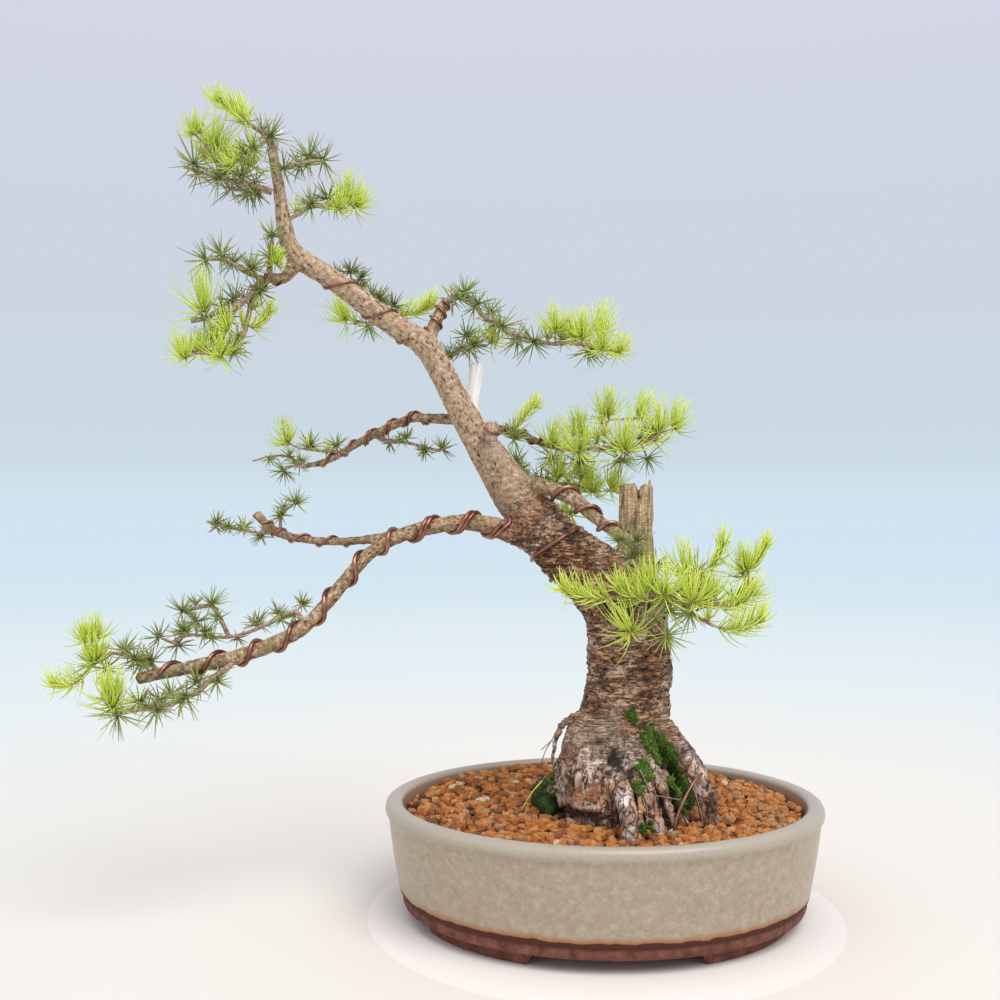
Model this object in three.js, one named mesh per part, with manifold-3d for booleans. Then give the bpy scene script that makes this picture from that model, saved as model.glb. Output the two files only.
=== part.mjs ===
// European larch bonsai in an oval glazed pot: roots standing above the soil, a leaning trunk, dead stubs,
// wired branches and sprays of needles. Millimetres, +Z up, the viewer looks along +Y.
// The origin is the middle of the whole object's footprint, at the bottom of the feet.
import * as THREE from 'three';
import { mergeVertices } from 'three/addons/utils/BufferGeometryUtils.js';
import Module from 'manifold-3d';

const wasm = await Module();
wasm.setup();

// Pot: an oval bowl on four feet, with an unglazed ledge under the glazed wall.
const POT_WIDTH = 350;
const POT_DEPTH = 296;
const POT_HEIGHT = 92;
const LEDGE_WIDTH = 322;
const FOOT_WIDTH = 298;
const FOOT_HEIGHT = 11;
const FOOT_THICKNESS = 14;
const FOOT_GAP_FRONT = 130;
const FOOT_GAP_SIDE = 104;
const FOOT_GAP_SLOPE = 6;
const FOOT_GAP_HEIGHT = 9.5;
const RIM_THICKNESS = 14;
const LEDGE_HEIGHT = 10;
const FLOOR_THICKNESS = 10;
const OVAL_SIDES = 36;

// Drainage: two holes in the floor, each under a plastic screen held by a bent wire clip.
const DRAIN_DIAMETER = 22;
const DRAIN_SPACING = 130;
const SCREEN_SIZE = 34;
const SCREEN_THICKNESS = 1.2;
const SCREEN_BAR = 2;
const SCREEN_CELLS = 3;
const CLIP_WIRE = 1.6;
const CLIP_FOOT = 9;

// Soil: a low mound of baked clay granules, drawn as a rough relief larger than life.
const SOIL_EDGE_HEIGHT = 83;
const SOIL_MIDDLE_HEIGHT = 90;
const SOIL_RINGS = 7;
const GRANULE_RELIEF = 2.6;

// Clear space kept between pieces that touch on the real object.
const SEAT_GAP = 0.35;

// Needles and the twigs that carry them.
const BUD_RADIUS = 1.7;
const SMALL_TUFT = 21;
const STALK_PAST_TWIG = 4;
const NEEDLE_WIDTH = 0.5;
const NEEDLE_CLEARANCE = 1.1;
const OWN_CLEARANCE = 1.5;
const NEEDLE_TRIES = 3;
const SHOOT_BUDS = 2;
const SHOOT_LEAN = 0.9;
const SHOOT_THICK = 1.3;
const SHOOT_THIN = 0.8;

// Anodised aluminium training wire.
const THICK_WIRE = 3.6;
const THIN_WIRE = 2.2;
const WIRE_STEPS_PER_TURN = 7;
const WIRE_GAP = 0.5;
const PUSH_ROUNDS = 60;
const TIE_WIRE_STEPS = 4;

// Corners that stand out less than this are left out, which shows nowhere.
const FLATNESS = 0.03;

// Routes are written as they are seen from the front: across and down in points of a 1000 point square
// view, then millimetres away from the viewer, then the limb's radius in millimetres.
const EYE = new THREE.Vector3(-83, -950, 330.4);
const VIEW_MIDDLE = 500;
const POINTS_PER_SLOPE = 1178.4;

const TRUNK = [
  [617, 846, -26, 37], [617, 800, -26, 41], [618, 762, -24, 39], [622, 728, -21, 36], [628, 690, -18, 33.5],
  [629, 655, -15, 33], [626, 620, -12, 32], [612, 592, -9, 29], [588, 570, -6, 25], [562, 550, -2, 23],
  [540, 525, 2, 21.5], [519, 500, 4, 18.5], [497, 468, 4, 15.5], [474, 432, 2, 12.3], [455, 398, -2, 10.6],
  [438, 365, -6, 10.2], [425, 345, -9, 10.2], [400, 329, -12, 9.4], [370, 308, -15, 8.8],
    [335, 281, -19, 8.5],
  [306, 263, -22, 8.3], [291, 249, -24, 7.6], [285, 230, -26, 6.8], [281, 205, -28, 5.2],
    [277, 175, -29, 4.4],
  [272, 150, -30, 4.2],
];
const DEAD_WOOD = {
  tip: [[272, 152, -30, 4], [276, 140, -30, 3.2], [283, 129, -30, 1.8]],
  knob: [[428, 352, -8, 10.5], [424, 336, -9, 9.5]],
  stump: [[634, 600, -6, 17], [636, 560, -4, 14.5], [635, 520, -2, 13.5], [635, 484, 0, 13.2]],
  splinter: [[646, 520, -2, 6], [649, 495, -1, 3.5], [651, 476, 0, 1.5]],
  highJin: [[476, 432, 10, 6.8], [471, 415, 18, 7], [474, 390, 20, 6.4], [477, 363, 21, 5.6]],
  lowJin: [[496, 470, -6, 10], [493, 455, -14, 7.2], [491, 438, -17, 5.2], [492, 421, -18, 4.8]],
};
const ROOTS = {
  bulge: [[604, 725, -34, 24], [598, 752, -44, 29], [597, 778, -50, 30], [600, 802, -54, 26],
    [604, 824, -54, 19]],
  front: [[617, 785, -76, 9], [625, 802, -90, 7.2], [629, 820, -98, 6.4], [631, 846, -104, 5.6]],
  right: [[640, 690, -28, 17], [652, 718, -36, 13], [670, 738, -46, 9.4], [686, 758, -54, 8],
    [697, 776, -58, 7.8], [706, 800, -61, 7.4], [713, 836, -64, 5.8]],
  innerLeft: [[630, 745, -48, 12], [638, 772, -66, 8], [648, 802, -78, 6], [658, 840, -86, 4]],
  innerRight: [[640, 740, -40, 12], [652, 772, -56, 7], [664, 800, -68, 5.2], [672, 838, -76, 4]],
  left: [[596, 730, -20, 16], [572, 768, -26, 13], [560, 795, -30, 10], [551, 822, -34, 7]],
  strand: [[580, 712, -46, 3], [561, 727, -50, 2.1], [554, 750, -50, 2], [553, 778, -50, 2],
    [562, 808, -54, 2.2]],
  backLeft: [[612, 735, 0, 20], [594, 768, 26, 14], [580, 798, 50, 9], [572, 818, 66, 6]],
  backRight: [[630, 735, 0, 20], [652, 766, 24, 14], [668, 792, 46, 9], [680, 812, 62, 6]],
};
const BRANCHES = {
  lowLeft: [[545, 545, 0, 12], [518, 535, -6, 9.5], [492, 526, -10, 7.6], [465, 522, -12, 6.4],
    [432, 527, -14, 6.2], [402, 535, -16, 5.8], [378, 547, -19, 5.3], [352, 572, -23, 5.2],
      [328, 602, -28, 5.2],
    [300, 630, -33, 5.6], [268, 646, -38, 6], [240, 656, -42, 6], [205, 664, -46, 5.4], [168, 672, -49, 5],
    [136, 679, -51, 4.6]],
  lowLeftUpper: [[412, 533, -15, 5.2], [385, 537, -13, 4.3], [352, 541, -9, 3.6], [320, 541, -5, 3.4],
    [288, 536, -1, 3.6], [270, 528, 1, 3.8], [256, 513, 3, 3.8]],
  midLeft: [[462, 418, 6, 5], [437, 419, 14, 4.4], [413, 418, 19, 4], [392, 426, 23, 3.8],
    [371, 436, 27, 3.6],
    [350, 448, 31, 3.3], [327, 461, 35, 3], [306, 466, 38, 2.4]],
  rightFront: [[524, 487, 0, 8], [540, 486, -9, 6.6], [556, 491, -18, 6.2], [574, 499, -27, 6],
    [588, 511, -35, 5.4], [602, 523, -43, 4.8], [616, 532, -51, 4.4], [629, 540, -57, 4]],
  midRight: [[482, 436, 10, 6], [496, 430, 22, 4.6], [512, 431, 30, 3.8], [530, 438, 35, 3.4],
    [546, 446, 38, 3]],
  upperRight: [[431, 352, -8, 6.5], [431, 337, -6, 5.4], [436, 321, -4, 5], [442, 309, -2, 4.6],
    [446, 301, 0, 4]],
  leftFork: [[296, 262, -24, 6], [284, 278, -30, 4.4], [268, 279, -36, 3.8], [257, 288, -41, 3.6],
    [252, 300, -45, 3.4]],
};

// Wires: which limb each one winds round, from and to which of its route points, its turns, start and size.
const WIRES = {
  wire_low_left_a: ['lowLeft', 1.75, 13.2, 9.06, 5.9, THICK_WIRE],
  wire_low_left_b: ['lowLeft', 1.35, 4.6, 2.57, 4.6, THICK_WIRE],
  wire_low_left_upper: ['lowLeftUpper', 2.0, 5.4, 4, 0.2, THIN_WIRE],
  wire_mid_left_a: ['midLeft', 1.2, 6.4, 5.4, 0.4, THIN_WIRE],
  wire_mid_left_b: ['midLeft', 1.5, 4.4, 3, 1.5, THIN_WIRE],
  wire_right_front: ['rightFront', 1.4, 6.6, 3.4, 2.4, THICK_WIRE],
  wire_mid_right: ['midRight', 1.4, 3.8, 2.4, 0, THIN_WIRE],
  wire_upper_right: ['upperRight', 1.2, 3.7, 3, 0.5, THIN_WIRE],
  wire_left_fork: ['leftFork', 1.3, 3.6, 2, 0.8, THIN_WIRE],
  wire_trunk_upper: ['trunk', 16.6, 19.6, 2.6, 0.4, THIN_WIRE],
  wire_trunk_ring: ['trunk', 8.7, 9.4, 1.1, 1.2, THICK_WIRE],
  wire_low_jin: ['lowJin', 1.75, 2.75, 1.6, 0, THIN_WIRE],
};
const TIE_WIRE_ROUTE = [[672, 850, -84], [676, 822, -84], [684, 800, -80], [694, 782, -73], [701, 774, -66],
  [708, 778, -50], [713, 800, -44], [716, 830, -44]];

// Sprays of needles. Twigs run from the limb outwards. A tuft is a place, its needles' length and their tone
// is the spray's own. A shoot is a route with needles all along it.
const SPRAYS = {
  apex_top: { tone: 'bright',
    twigs: [[2.4, 1.6, [271, 146, -30], [264, 134, -33], [251, 125, -36]],
      [1.8, 1.2, [266, 141, -32], [250, 152, -42], [240, 160, -46]]],
    tufts: [[270, 137, -34, 19], [252, 148, -52, 15], [251, 165, -20, 15], [243, 119, -28, 17]],
    shoots: [[21, [256, 129, -35], [236, 114, -38], [218, 101, -40]],
      [15, [252, 151, -41], [240, 159, -45], [229, 167, -47]]] },
  apex_left: { tone: 'dark',
    twigs: [[2.6, 1.3, [272, 192, -31], [255, 186, -35], [236, 182, -38], [217, 177, -41], [202, 172, -43],
      [184, 167, -44]], [1.8, 1.2, [262, 189, -33], [247, 190, -18], [232, 190, -4]]],
    tufts: [[241, 177, -40, 18], [218, 178, -44, 21], [194, 165, -42, 25], [256, 192, -33, 13],
      [231, 189, -3, 18], [248, 193, -16, 14]] },
  apex_left_shoots: { tone: 'bright',
    twigs: [[1.6, 1.1, [221, 171, -38], [215, 160, -34], [208, 148, -32], [197, 136, -30]]],
    tufts: [[196, 134, -30, 15], [214, 147, -36, 23], [226, 162, -30, 17], [205, 155, -18, 17]] },
  apex_right_high: { tone: 'dark',
    twigs: [[1.7, 1.1, [279, 170, -29], [291, 166, -27], [311, 161, -23], [322, 161, -20]]],
    tufts: [[284, 169, -36, 17], [309, 157, -22, 19], [323, 160, -18, 17], [300, 165, -14, 13]] },
  apex_right_low: { tone: 'dark',
    twigs: [[1.9, 1.2, [286, 221, -27], [300, 213, -24], [311, 207, -20], [328, 206, -16], [347, 202, -12]]],
    tufts: [[311, 206, -22, 16], [328, 199, -12, 17], [347, 200, -14, 20], [355, 206, -8, 17],
      [339, 208, -24, 13]] },
  bend_spurs: { tone: 'dark',
    twigs: [[2.2, 1.8, [270, 278, -36], [270, 256, -39], [272, 240, -40]]],
    tufts: [[272, 236, -41, 13], [271, 256, -44, 15], [276, 262, -46, 10]] },
  left_upper: { tone: 'dark',
    twigs: [[2, 1.3, [266, 279, -37], [247, 273, -44], [226, 260, -48], [212, 259, -50]]],
    tufts: [[206, 260, -50, 19], [221, 255, -46, 17], [252, 268, -52, 14], [232, 263, -38, 12]] },
  left_mid: { tone: 'dark',
    twigs: [[2.6, 1.8, [257, 290, -44], [245, 300, -50], [232, 310, -50], [217, 312, -51], [206, 318, -52],
      [191, 321, -52]]],
    tufts: [[234, 300, -48, 16], [259, 291, -52, 15], [204, 310, -54, 28], [224, 318, -40, 13]] },
  left_low: { tone: 'bright',
    twigs: [[2.3, 1.2, [252, 299, -43], [247, 322, -44], [242, 338, -48], [231, 350, -50], [220, 352, -51],
      [199, 353, -53], [186, 357, -54]]],
    tufts: [[185, 357, -54, 18], [199, 351, -50, 16], [221, 355, -54, 19], [214, 341, -46, 15],
      [228, 329, -52, 16], [236, 345, -36, 14]],
    shoots: [[15, [246, 326, -46], [258, 326, -44], [270, 312, -42]]] },
  behind_trunk: { tone: 'dark',
    twigs: [[2.6, 1.4, [344, 290, -12], [352, 281, 10], [360, 288, 15], [375, 303, 19], [390, 315, 22]]],
    tufts: [[350, 272, 10, 12], [360, 279, 13, 12], [338, 276, 6, 11], [379, 299, 16, 13], [393, 306, 20, 13],
      [372, 296, 34, 14]] },
  behind_trunk_shoots: { tone: 'bright',
    twigs: [[1.6, 1.2, [400, 330, -8], [392, 323, 16], [372, 324, 32], [352, 320, 44]]],
    tufts: [[346, 319, 44, 19], [368, 326, 40, 14]],
    shoots: [[18, [392, 322, 16], [405, 315, 22], [419, 312, 24], [430, 306, 24]]] },
  upper_right_inner: { tone: 'dark',
    twigs: [[2.6, 1.8, [445, 302, 0], [454, 297, 2], [466, 298, 3], [476, 306, 4], [484, 317, 5],
      [496, 323, 6],
      [507, 332, 7], [522, 336, 8], [537, 341, 9]]],
    tufts: [[465, 293, 0, 15], [478, 303, -6, 15], [452, 300, 12, 12], [501, 326, -2, 21], [490, 313, 14, 14],
      [534, 343, 4, 20], [517, 340, 22, 16]] },
  upper_right_outer: { tone: 'bright',
    twigs: [[1.8, 1.2, [538, 341.3, 9.2], [553, 344, 9], [568, 343, 8], [584, 345, 6], [602, 347, 4],
      [616, 351, 2]], [1.4, 1, [556, 344, 9], [566, 338, 26], [574, 333, 38]]],
    tufts: [[555, 331, 4, 20], [582, 337, -4, 19], [600, 332, 8, 22], [603, 349, -8, 20], [618, 352, 2, 15],
      [574, 335, 38, 18], [588, 352, 14, 16]] },
  upper_right_low: { tone: 'dark',
    twigs: [[1.8, 1.2, [440, 368, -4], [450, 358, 14], [461, 350, 18], [472, 346, 20], [486, 346, 22]]],
    tufts: [[451, 356, 14, 15], [466, 336, 14, 14], [474, 345, 14, 15], [491, 342, 22, 18],
      [470, 350, 36, 13]] },
  mid_left_tips: { tone: 'dark',
    twigs: [[1.5, 0.9, [343, 452, 32], [325, 451, 31], [312, 450, 30], [298, 448, 28]]],
    tufts: [[310, 446, 29, 14], [337, 446, 28, 12], [288, 443, 28, 18]] },
  mid_left_end: { tone: 'dark',
    twigs: [[1.7, 1.1, [309, 466, 38], [296, 466, 40], [286, 467, 42]],
      [1.3, 0.8, [300, 465, 39], [290, 457, 42], [272, 456, 46], [253, 461, 50]]],
    tufts: [[284, 471, 44, 12], [300, 462, 54, 10]] },
  mid_left_back: { tone: 'dark',
    twigs: [[1.6, 1.2, [374, 435, 27], [380, 439, 36], [393, 441, 34], [408, 443, 30], [424, 447, 26],
      [440, 451, 22]]],
    tufts: [[406, 438, 27, 10], [442, 449, 24, 11], [425, 451, 24, 9], [390, 443, 42, 10]] },
  low_left_upper_tips: { tone: 'dark',
    twigs: [[1.4, 0.9, [278, 533, 1], [264, 533, 8], [252, 532, 12], [234, 529, 14], [218, 525, 18],
      [207, 522, 20]]],
    tufts: [[217, 523, 18, 10], [229, 527, 12, 8], [261, 536, 12, 10], [244, 527, 26, 9]] },
  low_left_upper_twig: { tone: 'dark',
    twigs: [[1.5, 0.9, [281, 534, 0], [281, 518, -8], [288, 508, -10], [295, 504, -12]]],
    tufts: [[281, 515, -10, 9], [296, 503, -12, 13]] },
  low_left_top: { tone: 'dark',
    twigs: [[2.1, 1.3, [305, 625, -32], [296, 612, -22], [281, 618, -18], [263, 626, -16], [246, 633, -16],
      [229, 637, -18], [212, 637, -22], [190, 635, -28], [172, 642, -32]],
    [1.9, 1.5, [229, 637, -18], [222, 622, -24], [212, 606, -28], [196, 608, -30], [182, 611, -32]]],
    tufts: [[211, 604, -29, 14], [182, 611, -33, 14], [204, 633, -28, 13], [183, 631, -30, 14],
      [159, 637, -34, 14], [178, 645, -24, 13], [258, 622, -8, 12], [279, 614, -12, 11], [302, 604, -16, 10],
      [196, 622, -10, 13]] },
  low_left_end: { tone: 'dark',
    twigs: [[2.2, 1.4, [160, 673, -49], [148, 662, -50], [136, 659, -48], [124, 655, -46], [113, 653, -44]]],
    tufts: [[151, 661, -52, 14], [135, 659, -56, 16], [125, 650, -40, 14], [140, 664, -34, 13]] },
  low_left_end_shoots: { tone: 'bright',
    twigs: [[1.6, 1.2, [111.7, 652.8, -44], [102, 660, -44], [94, 664, -45], [86, 672, -46]],
      [1.3, 1, [101, 659, -44], [96, 649, -40], [95, 641, -38]]],
    tufts: [[95, 639, -38, 18], [95, 661, -50, 20], [86, 641, -46, 14], [106, 668, -28, 15]],
    shoots: [[16, [87, 671, -46], [78, 681, -48], [66, 687, -49], [54, 685, -50]]] },
  low_left_under: { tone: 'dark',
    twigs: [[2.6, 1.3, [238, 657, -43], [222, 672, -50], [207, 683, -54], [198, 692, -57], [185, 698, -60],
      [168, 705, -62], [150, 708, -64], [130, 711, -66]]],
    tufts: [[217, 682, -56, 13], [197, 682, -56, 14], [186, 697, -64, 17], [171, 694, -56, 14],
      [157, 709, -66, 18], [139, 702, -60, 14], [160, 700, -44, 13]] },
  low_left_under_shoots: { tone: 'bright',
    twigs: [[1.5, 1.1, [128.7, 711.2, -66], [116, 710, -67], [108, 704, -68]]],
    tufts: [[113, 706, -70, 25], [107, 697, -62, 19], [118, 715, -64, 20]] },
  mid_right_spur: { tone: 'dark',
    twigs: [[1.7, 1.2, [508, 431, 28], [512, 435, 16], [514, 440, 12]]],
    tufts: [[514, 439, 8, 16]],
    shoots: [[14, [512, 437, 14], [520, 423, 9], [528, 413, 8], [535, 406, 8]]] },
  mid_right_pad: { tone: 'bright',
    twigs: [[2.6, 1.5, [542, 444, 37], [566, 449, 38], [594, 448, 36], [620, 447, 34], [641, 443, 34],
      [660, 433, 34]],
    [1.6, 1.1, [594, 448, 36], [600, 434, 50], [609, 420, 60]],
    [1.6, 1.1, [620, 447, 34], [624, 450, 20], [625, 452, 8]],
    [1.5, 1.1, [566, 449, 38], [576, 440, 54], [580, 434, 62]]],
    tufts: [[552, 445, 34, 22], [579, 451, 14, 24], [580, 433, 62, 20], [608, 416, 60, 22], [625, 450, 6, 29],
      [638, 418, 54, 24], [659, 431, 30, 25], [674, 428, 36, 22], [654, 440, 56, 18],
      [553, 458, 44, 17], [580, 462, 30, 17], [621, 460, 30, 19], [647, 458, 40, 14]] },
  mid_right_low: { tone: 'bright',
    twigs: [[2.2, 1.3, [500, 466, 4], [511, 462, 18], [521, 472, 28], [534, 480, 38], [548, 484, 46],
      [566, 484, 52], [584, 488, 56], [600, 492, 60]]],
    tufts: [[545, 481, 40, 13], [521, 469, 30, 11], [558, 477, 44, 19], [581, 478, 50, 20],
      [592, 491, 48, 18],
      [611, 490, 60, 21], [570, 513, 56, 17], [588, 484, 76, 18]] },
  right_pad_inner: { tone: 'dark',
    twigs: [[3, 2.2, [627, 539, -56], [636, 550, -62], [643, 561, -66], [650, 572, -69]]],
    tufts: [[633, 556, -74, 15], [636, 541, -66, 15], [621, 540, -66, 12], [655, 566, -56, 14]] },
  right_pad: { tone: 'bright',
    twigs: [[2.6, 1.5, [650.6, 572.8, -69.3], [661, 588, -73], [676, 600, -76], [695, 605, -76],
      [714, 607, -74]],
      [1.7, 1.2, [664, 592, -74], [644, 597, -82], [618, 598, -85]],
      [1.7, 1.2, [672, 596, -74], [690, 580, -64], [704, 570, -59]],
      [1.7, 1.2, [704, 606, -74], [728, 602, -62], [745, 585, -55], [748, 574, -53]],
      [1.7, 1.2, [684, 604, -76], [700, 618, -84], [714, 626, -86]],
      [1.7, 1.2, [668, 597, -75], [652, 616, -86], [634, 629, -90]]],
    tufts: [[664, 594, -86, 24], [686, 574, -66, 24], [693, 602, -88, 25], [712, 598, -66, 22],
      [630, 631, -92, 24], [648, 588, -80, 20], [700, 590, -40, 20], [746, 570, -54, 20],
      [668, 612, -80, 17], [690, 614, -60, 18], [666, 636, -92, 20]],
    shoots: [[19, [618, 598, -85], [600, 598, -86], [582, 595, -86], [565, 590, -85]],
      [19, [650, 600, -84], [634, 597, -90], [619, 587, -93]],
      [22, [714, 607, -74], [728, 607, -72], [742, 602, -70], [754, 594, -68]],
      [18, [704, 570, -59], [716, 562, -57], [722, 544, -55]],
      [16, [748, 574, -53], [757, 560, -52], [766, 546, -51]],
      [20, [712, 625, -86], [727, 630, -86], [744, 628, -85], [760, 621, -84]]] },
};

// Moss cushions in the crooks of the roots: a place, then the half sizes across, away and up.
const MOSS = {
  moss_left: [[[543, 796, -14], [9, 16, 14]], [[549, 806, -36], [9, 12, 10]]],
  moss_back: [[[556, 802, 14], [12, 15, 12]]],
  moss_right: [[[680, 797, -30], [12, 13, 15]], [[676, 782, -12], [11, 12, 14]], [[684, 804, -6],
    [11, 14, 10]]],
};

const GLAZE = new THREE.MeshStandardMaterial({ color: 0xa8a294, roughness: 0.35 });
const CLAY_GRANULES = new THREE.MeshStandardMaterial({ color: 0xb5743c, roughness: 0.95 });
const BARK = new THREE.MeshStandardMaterial({ color: 0x9a7a68, roughness: 0.9 });
const WIRE_METAL = new THREE.MeshStandardMaterial({ color: 0x9b5a45, roughness: 0.35, metalness: 1 });
const SCREEN_PLASTIC = new THREE.MeshStandardMaterial({ color: 0x2c2e2c, roughness: 0.6 });
const MOSS_GREEN = new THREE.MeshStandardMaterial({ color: 0x3d7a1e, roughness: 1 });
const NEEDLES = {
  bright: new THREE.MeshStandardMaterial({ color: 0xb9d43a, roughness: 0.6 }),
  dark: new THREE.MeshStandardMaterial({ color: 0x55803f, roughness: 0.6 }),
};

// Numbers from 0 to 1 in an order set by the seed, so that every run draws the same.
function seeded(seed) {
  let state = seed;
  return () => {
    state = (state * 1664525 + 1013904223) % 4294967296;
    return state / 4294967296;
  };
}

function seen([across, down, away]) {
  const slope = (away - EYE.y) / POINTS_PER_SLOPE;
  return new THREE.Vector3(
    EYE.x + (across - VIEW_MIDDLE) * slope, away, EYE.z - (down - VIEW_MIDDLE) * slope);
}

function solid(geometry) {
  const bare = geometry.clone();
  bare.deleteAttribute('normal');
  bare.deleteAttribute('uv');
  const merged = mergeVertices(bare, 1e-4);
  return new wasm.Manifold(new wasm.Mesh({
    numProp: 3,
    vertProperties: new Float32Array(merged.attributes.position.array),
    triVerts: new Uint32Array(merged.index.array),
  }));
}

const joined = (solids) => solids.reduce((whole, next) => whole.add(next));

// The biggest of the separate bodies in a solid, so that loose scraps are dropped.
function largest(body) {
  return body.decompose().reduce((best, next) => (next.volume() > best.volume() ? next : best));
}

function meshOf(name, body, material) {
  const { vertProperties, triVerts } = body.simplify(FLATNESS).getMesh();
  const geometry = new THREE.BufferGeometry();
  geometry.setAttribute('position', new THREE.BufferAttribute(vertProperties, 3));
  geometry.setIndex(new THREE.BufferAttribute(triVerts, 1));
  geometry.computeVertexNormals();
  const mesh = new THREE.Mesh(geometry, material);
  mesh.name = name;
  return mesh;
}

// A curve through a route's points, with its radius at any point number.
function path(points, radii) {
  const curve = new THREE.CatmullRomCurve3(points, false, 'centripetal');
  const last = points.length - 1;
  return {
    last,
    at: (number) => curve.getPoint(THREE.MathUtils.clamp(number / last, 0, 1)),
    ahead: (number) => curve.getTangent(THREE.MathUtils.clamp(number / last, 0, 1)),
    radius: (number) => {
      const low = Math.min(Math.floor(number), last - 1);
      return THREE.MathUtils.lerp(radii[low], radii[low + 1], number - low);
    },
  };
}

const limbPath = (route) => path(route.map(seen), route.map((point) => point[3]));

const LIMBS = {};
for (const [name, route] of Object.entries({ trunk: TRUNK, ...DEAD_WOOD, ...ROOTS, ...BRANCHES })) {
  LIMBS[name] = limbPath(route);
}

// Places along a path with a side and an over direction that turn no more than the path does.
function framesAlong(route, from, to, steps) {
  const start = route.ahead(from);
  let side = new THREE.Vector3(0, -1, 0);
  if (Math.abs(start.y) > 0.9) side = new THREE.Vector3(0, 0, 1);
  return Array.from({ length: steps + 1 }, (_, index) => {
    const number = from + (to - from) * (index / steps);
    const ahead = route.ahead(number);
    side = side.clone().addScaledVector(ahead, -side.dot(ahead)).normalize();
    const over = new THREE.Vector3().crossVectors(side, ahead);
    return { at: route.at(number), side, over, ahead, radius: route.radius(number) };
  });
}

// A closed round limb: a cylinder bent along the path, thick as the path says plus an extra.
function limb(route, sides, steps, extra = 0) {
  const frames = framesAlong(route, 0, route.last, steps);
  const geometry = new THREE.CylinderGeometry(1, 1, steps, sides, steps);
  const position = geometry.attributes.position;
  for (let index = 0; index < position.count; index += 1) {
    const step = Math.round(position.getY(index) + steps / 2);
    const { at, side, over, ahead, radius } = frames[step];
    const place = at.clone()
      .addScaledVector(side, position.getX(index) * (radius + extra))
      .addScaledVector(over, position.getZ(index) * (radius + extra));
    if (step === 0) place.addScaledVector(ahead, -extra);
    if (step === steps) place.addScaledVector(ahead, extra);
    position.setXYZ(index, place.x, place.y, place.z);
  }
  return solid(geometry);
}

// Thick limbs get more sides than thin ones.
function limbSides(route) {
  const radius = route.radius(route.last / 2);
  if (radius > 15) return 11;
  return radius > 4 ? 7 : 5;
}

function tree(extra) {
  return joined(Object.values(LIMBS).map((route) => limb(route, limbSides(route), route.last, extra)));
}

// Round rods that other pieces keep clear of, as straight stretches with a radius.
const obstacles = [];

function addObstacles(owner, points, radius) {
  for (let index = 1; index < points.length; index += 1) {
    obstacles.push({ owner, line: new THREE.Line3(points[index - 1], points[index]), radius: radius(index) });
  }
}

// How far a wire's middle is inside the room that a limb or an earlier wire needs, and the way out of it.
function pressOn(point, radius) {
  const near = new THREE.Vector3();
  let worst = { depth: 0 };
  for (const { line, radius: wall } of obstacles) {
    line.closestPointToPoint(point, true, near);
    const depth = wall + radius + WIRE_GAP - point.distanceTo(near);
    if (depth > worst.depth) worst = { depth, out: point.clone().sub(near).normalize() };
  }
  return worst;
}

// Move each point out until a wire of that radius is clear. In a crotch it comes out to the front or the
// back.
function pushedClear(points, radius) {
  for (const point of points) {
    for (let round = 0; round < PUSH_ROUNDS; round += 1) {
      const { depth, out } = pressOn(point, radius);
      if (depth < 0.01) break;
      if (round > PUSH_ROUNDS / 2) out.set(0, out.y < 0 ? -1 : 1, 0);
      point.addScaledVector(out, depth);
    }
  }
  return points;
}

// A wire wound round a limb, clear of its surface by the gap all along.
function windingPoints([limbName, from, to, turns, start, diameter]) {
  const frames = framesAlong(LIMBS[limbName], from, to, Math.round(turns * WIRE_STEPS_PER_TURN));
  const chord = Math.cos(Math.PI / WIRE_STEPS_PER_TURN);
  const points = frames.map(({ at, side, over, radius }, index) => {
    const angle = start + (index / (frames.length - 1)) * turns * 2 * Math.PI;
    const reach = (radius + diameter / 2 + WIRE_GAP) / chord;
    return at.clone()
      .addScaledVector(side, Math.cos(angle) * reach)
      .addScaledVector(over, Math.sin(angle) * reach);
  });
  return pushedClear(points, diameter / 2);
}

function rod(points, radius, sides) {
  const route = path(points, points.map(() => radius));
  return limb(route, sides, route.last);
}

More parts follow.
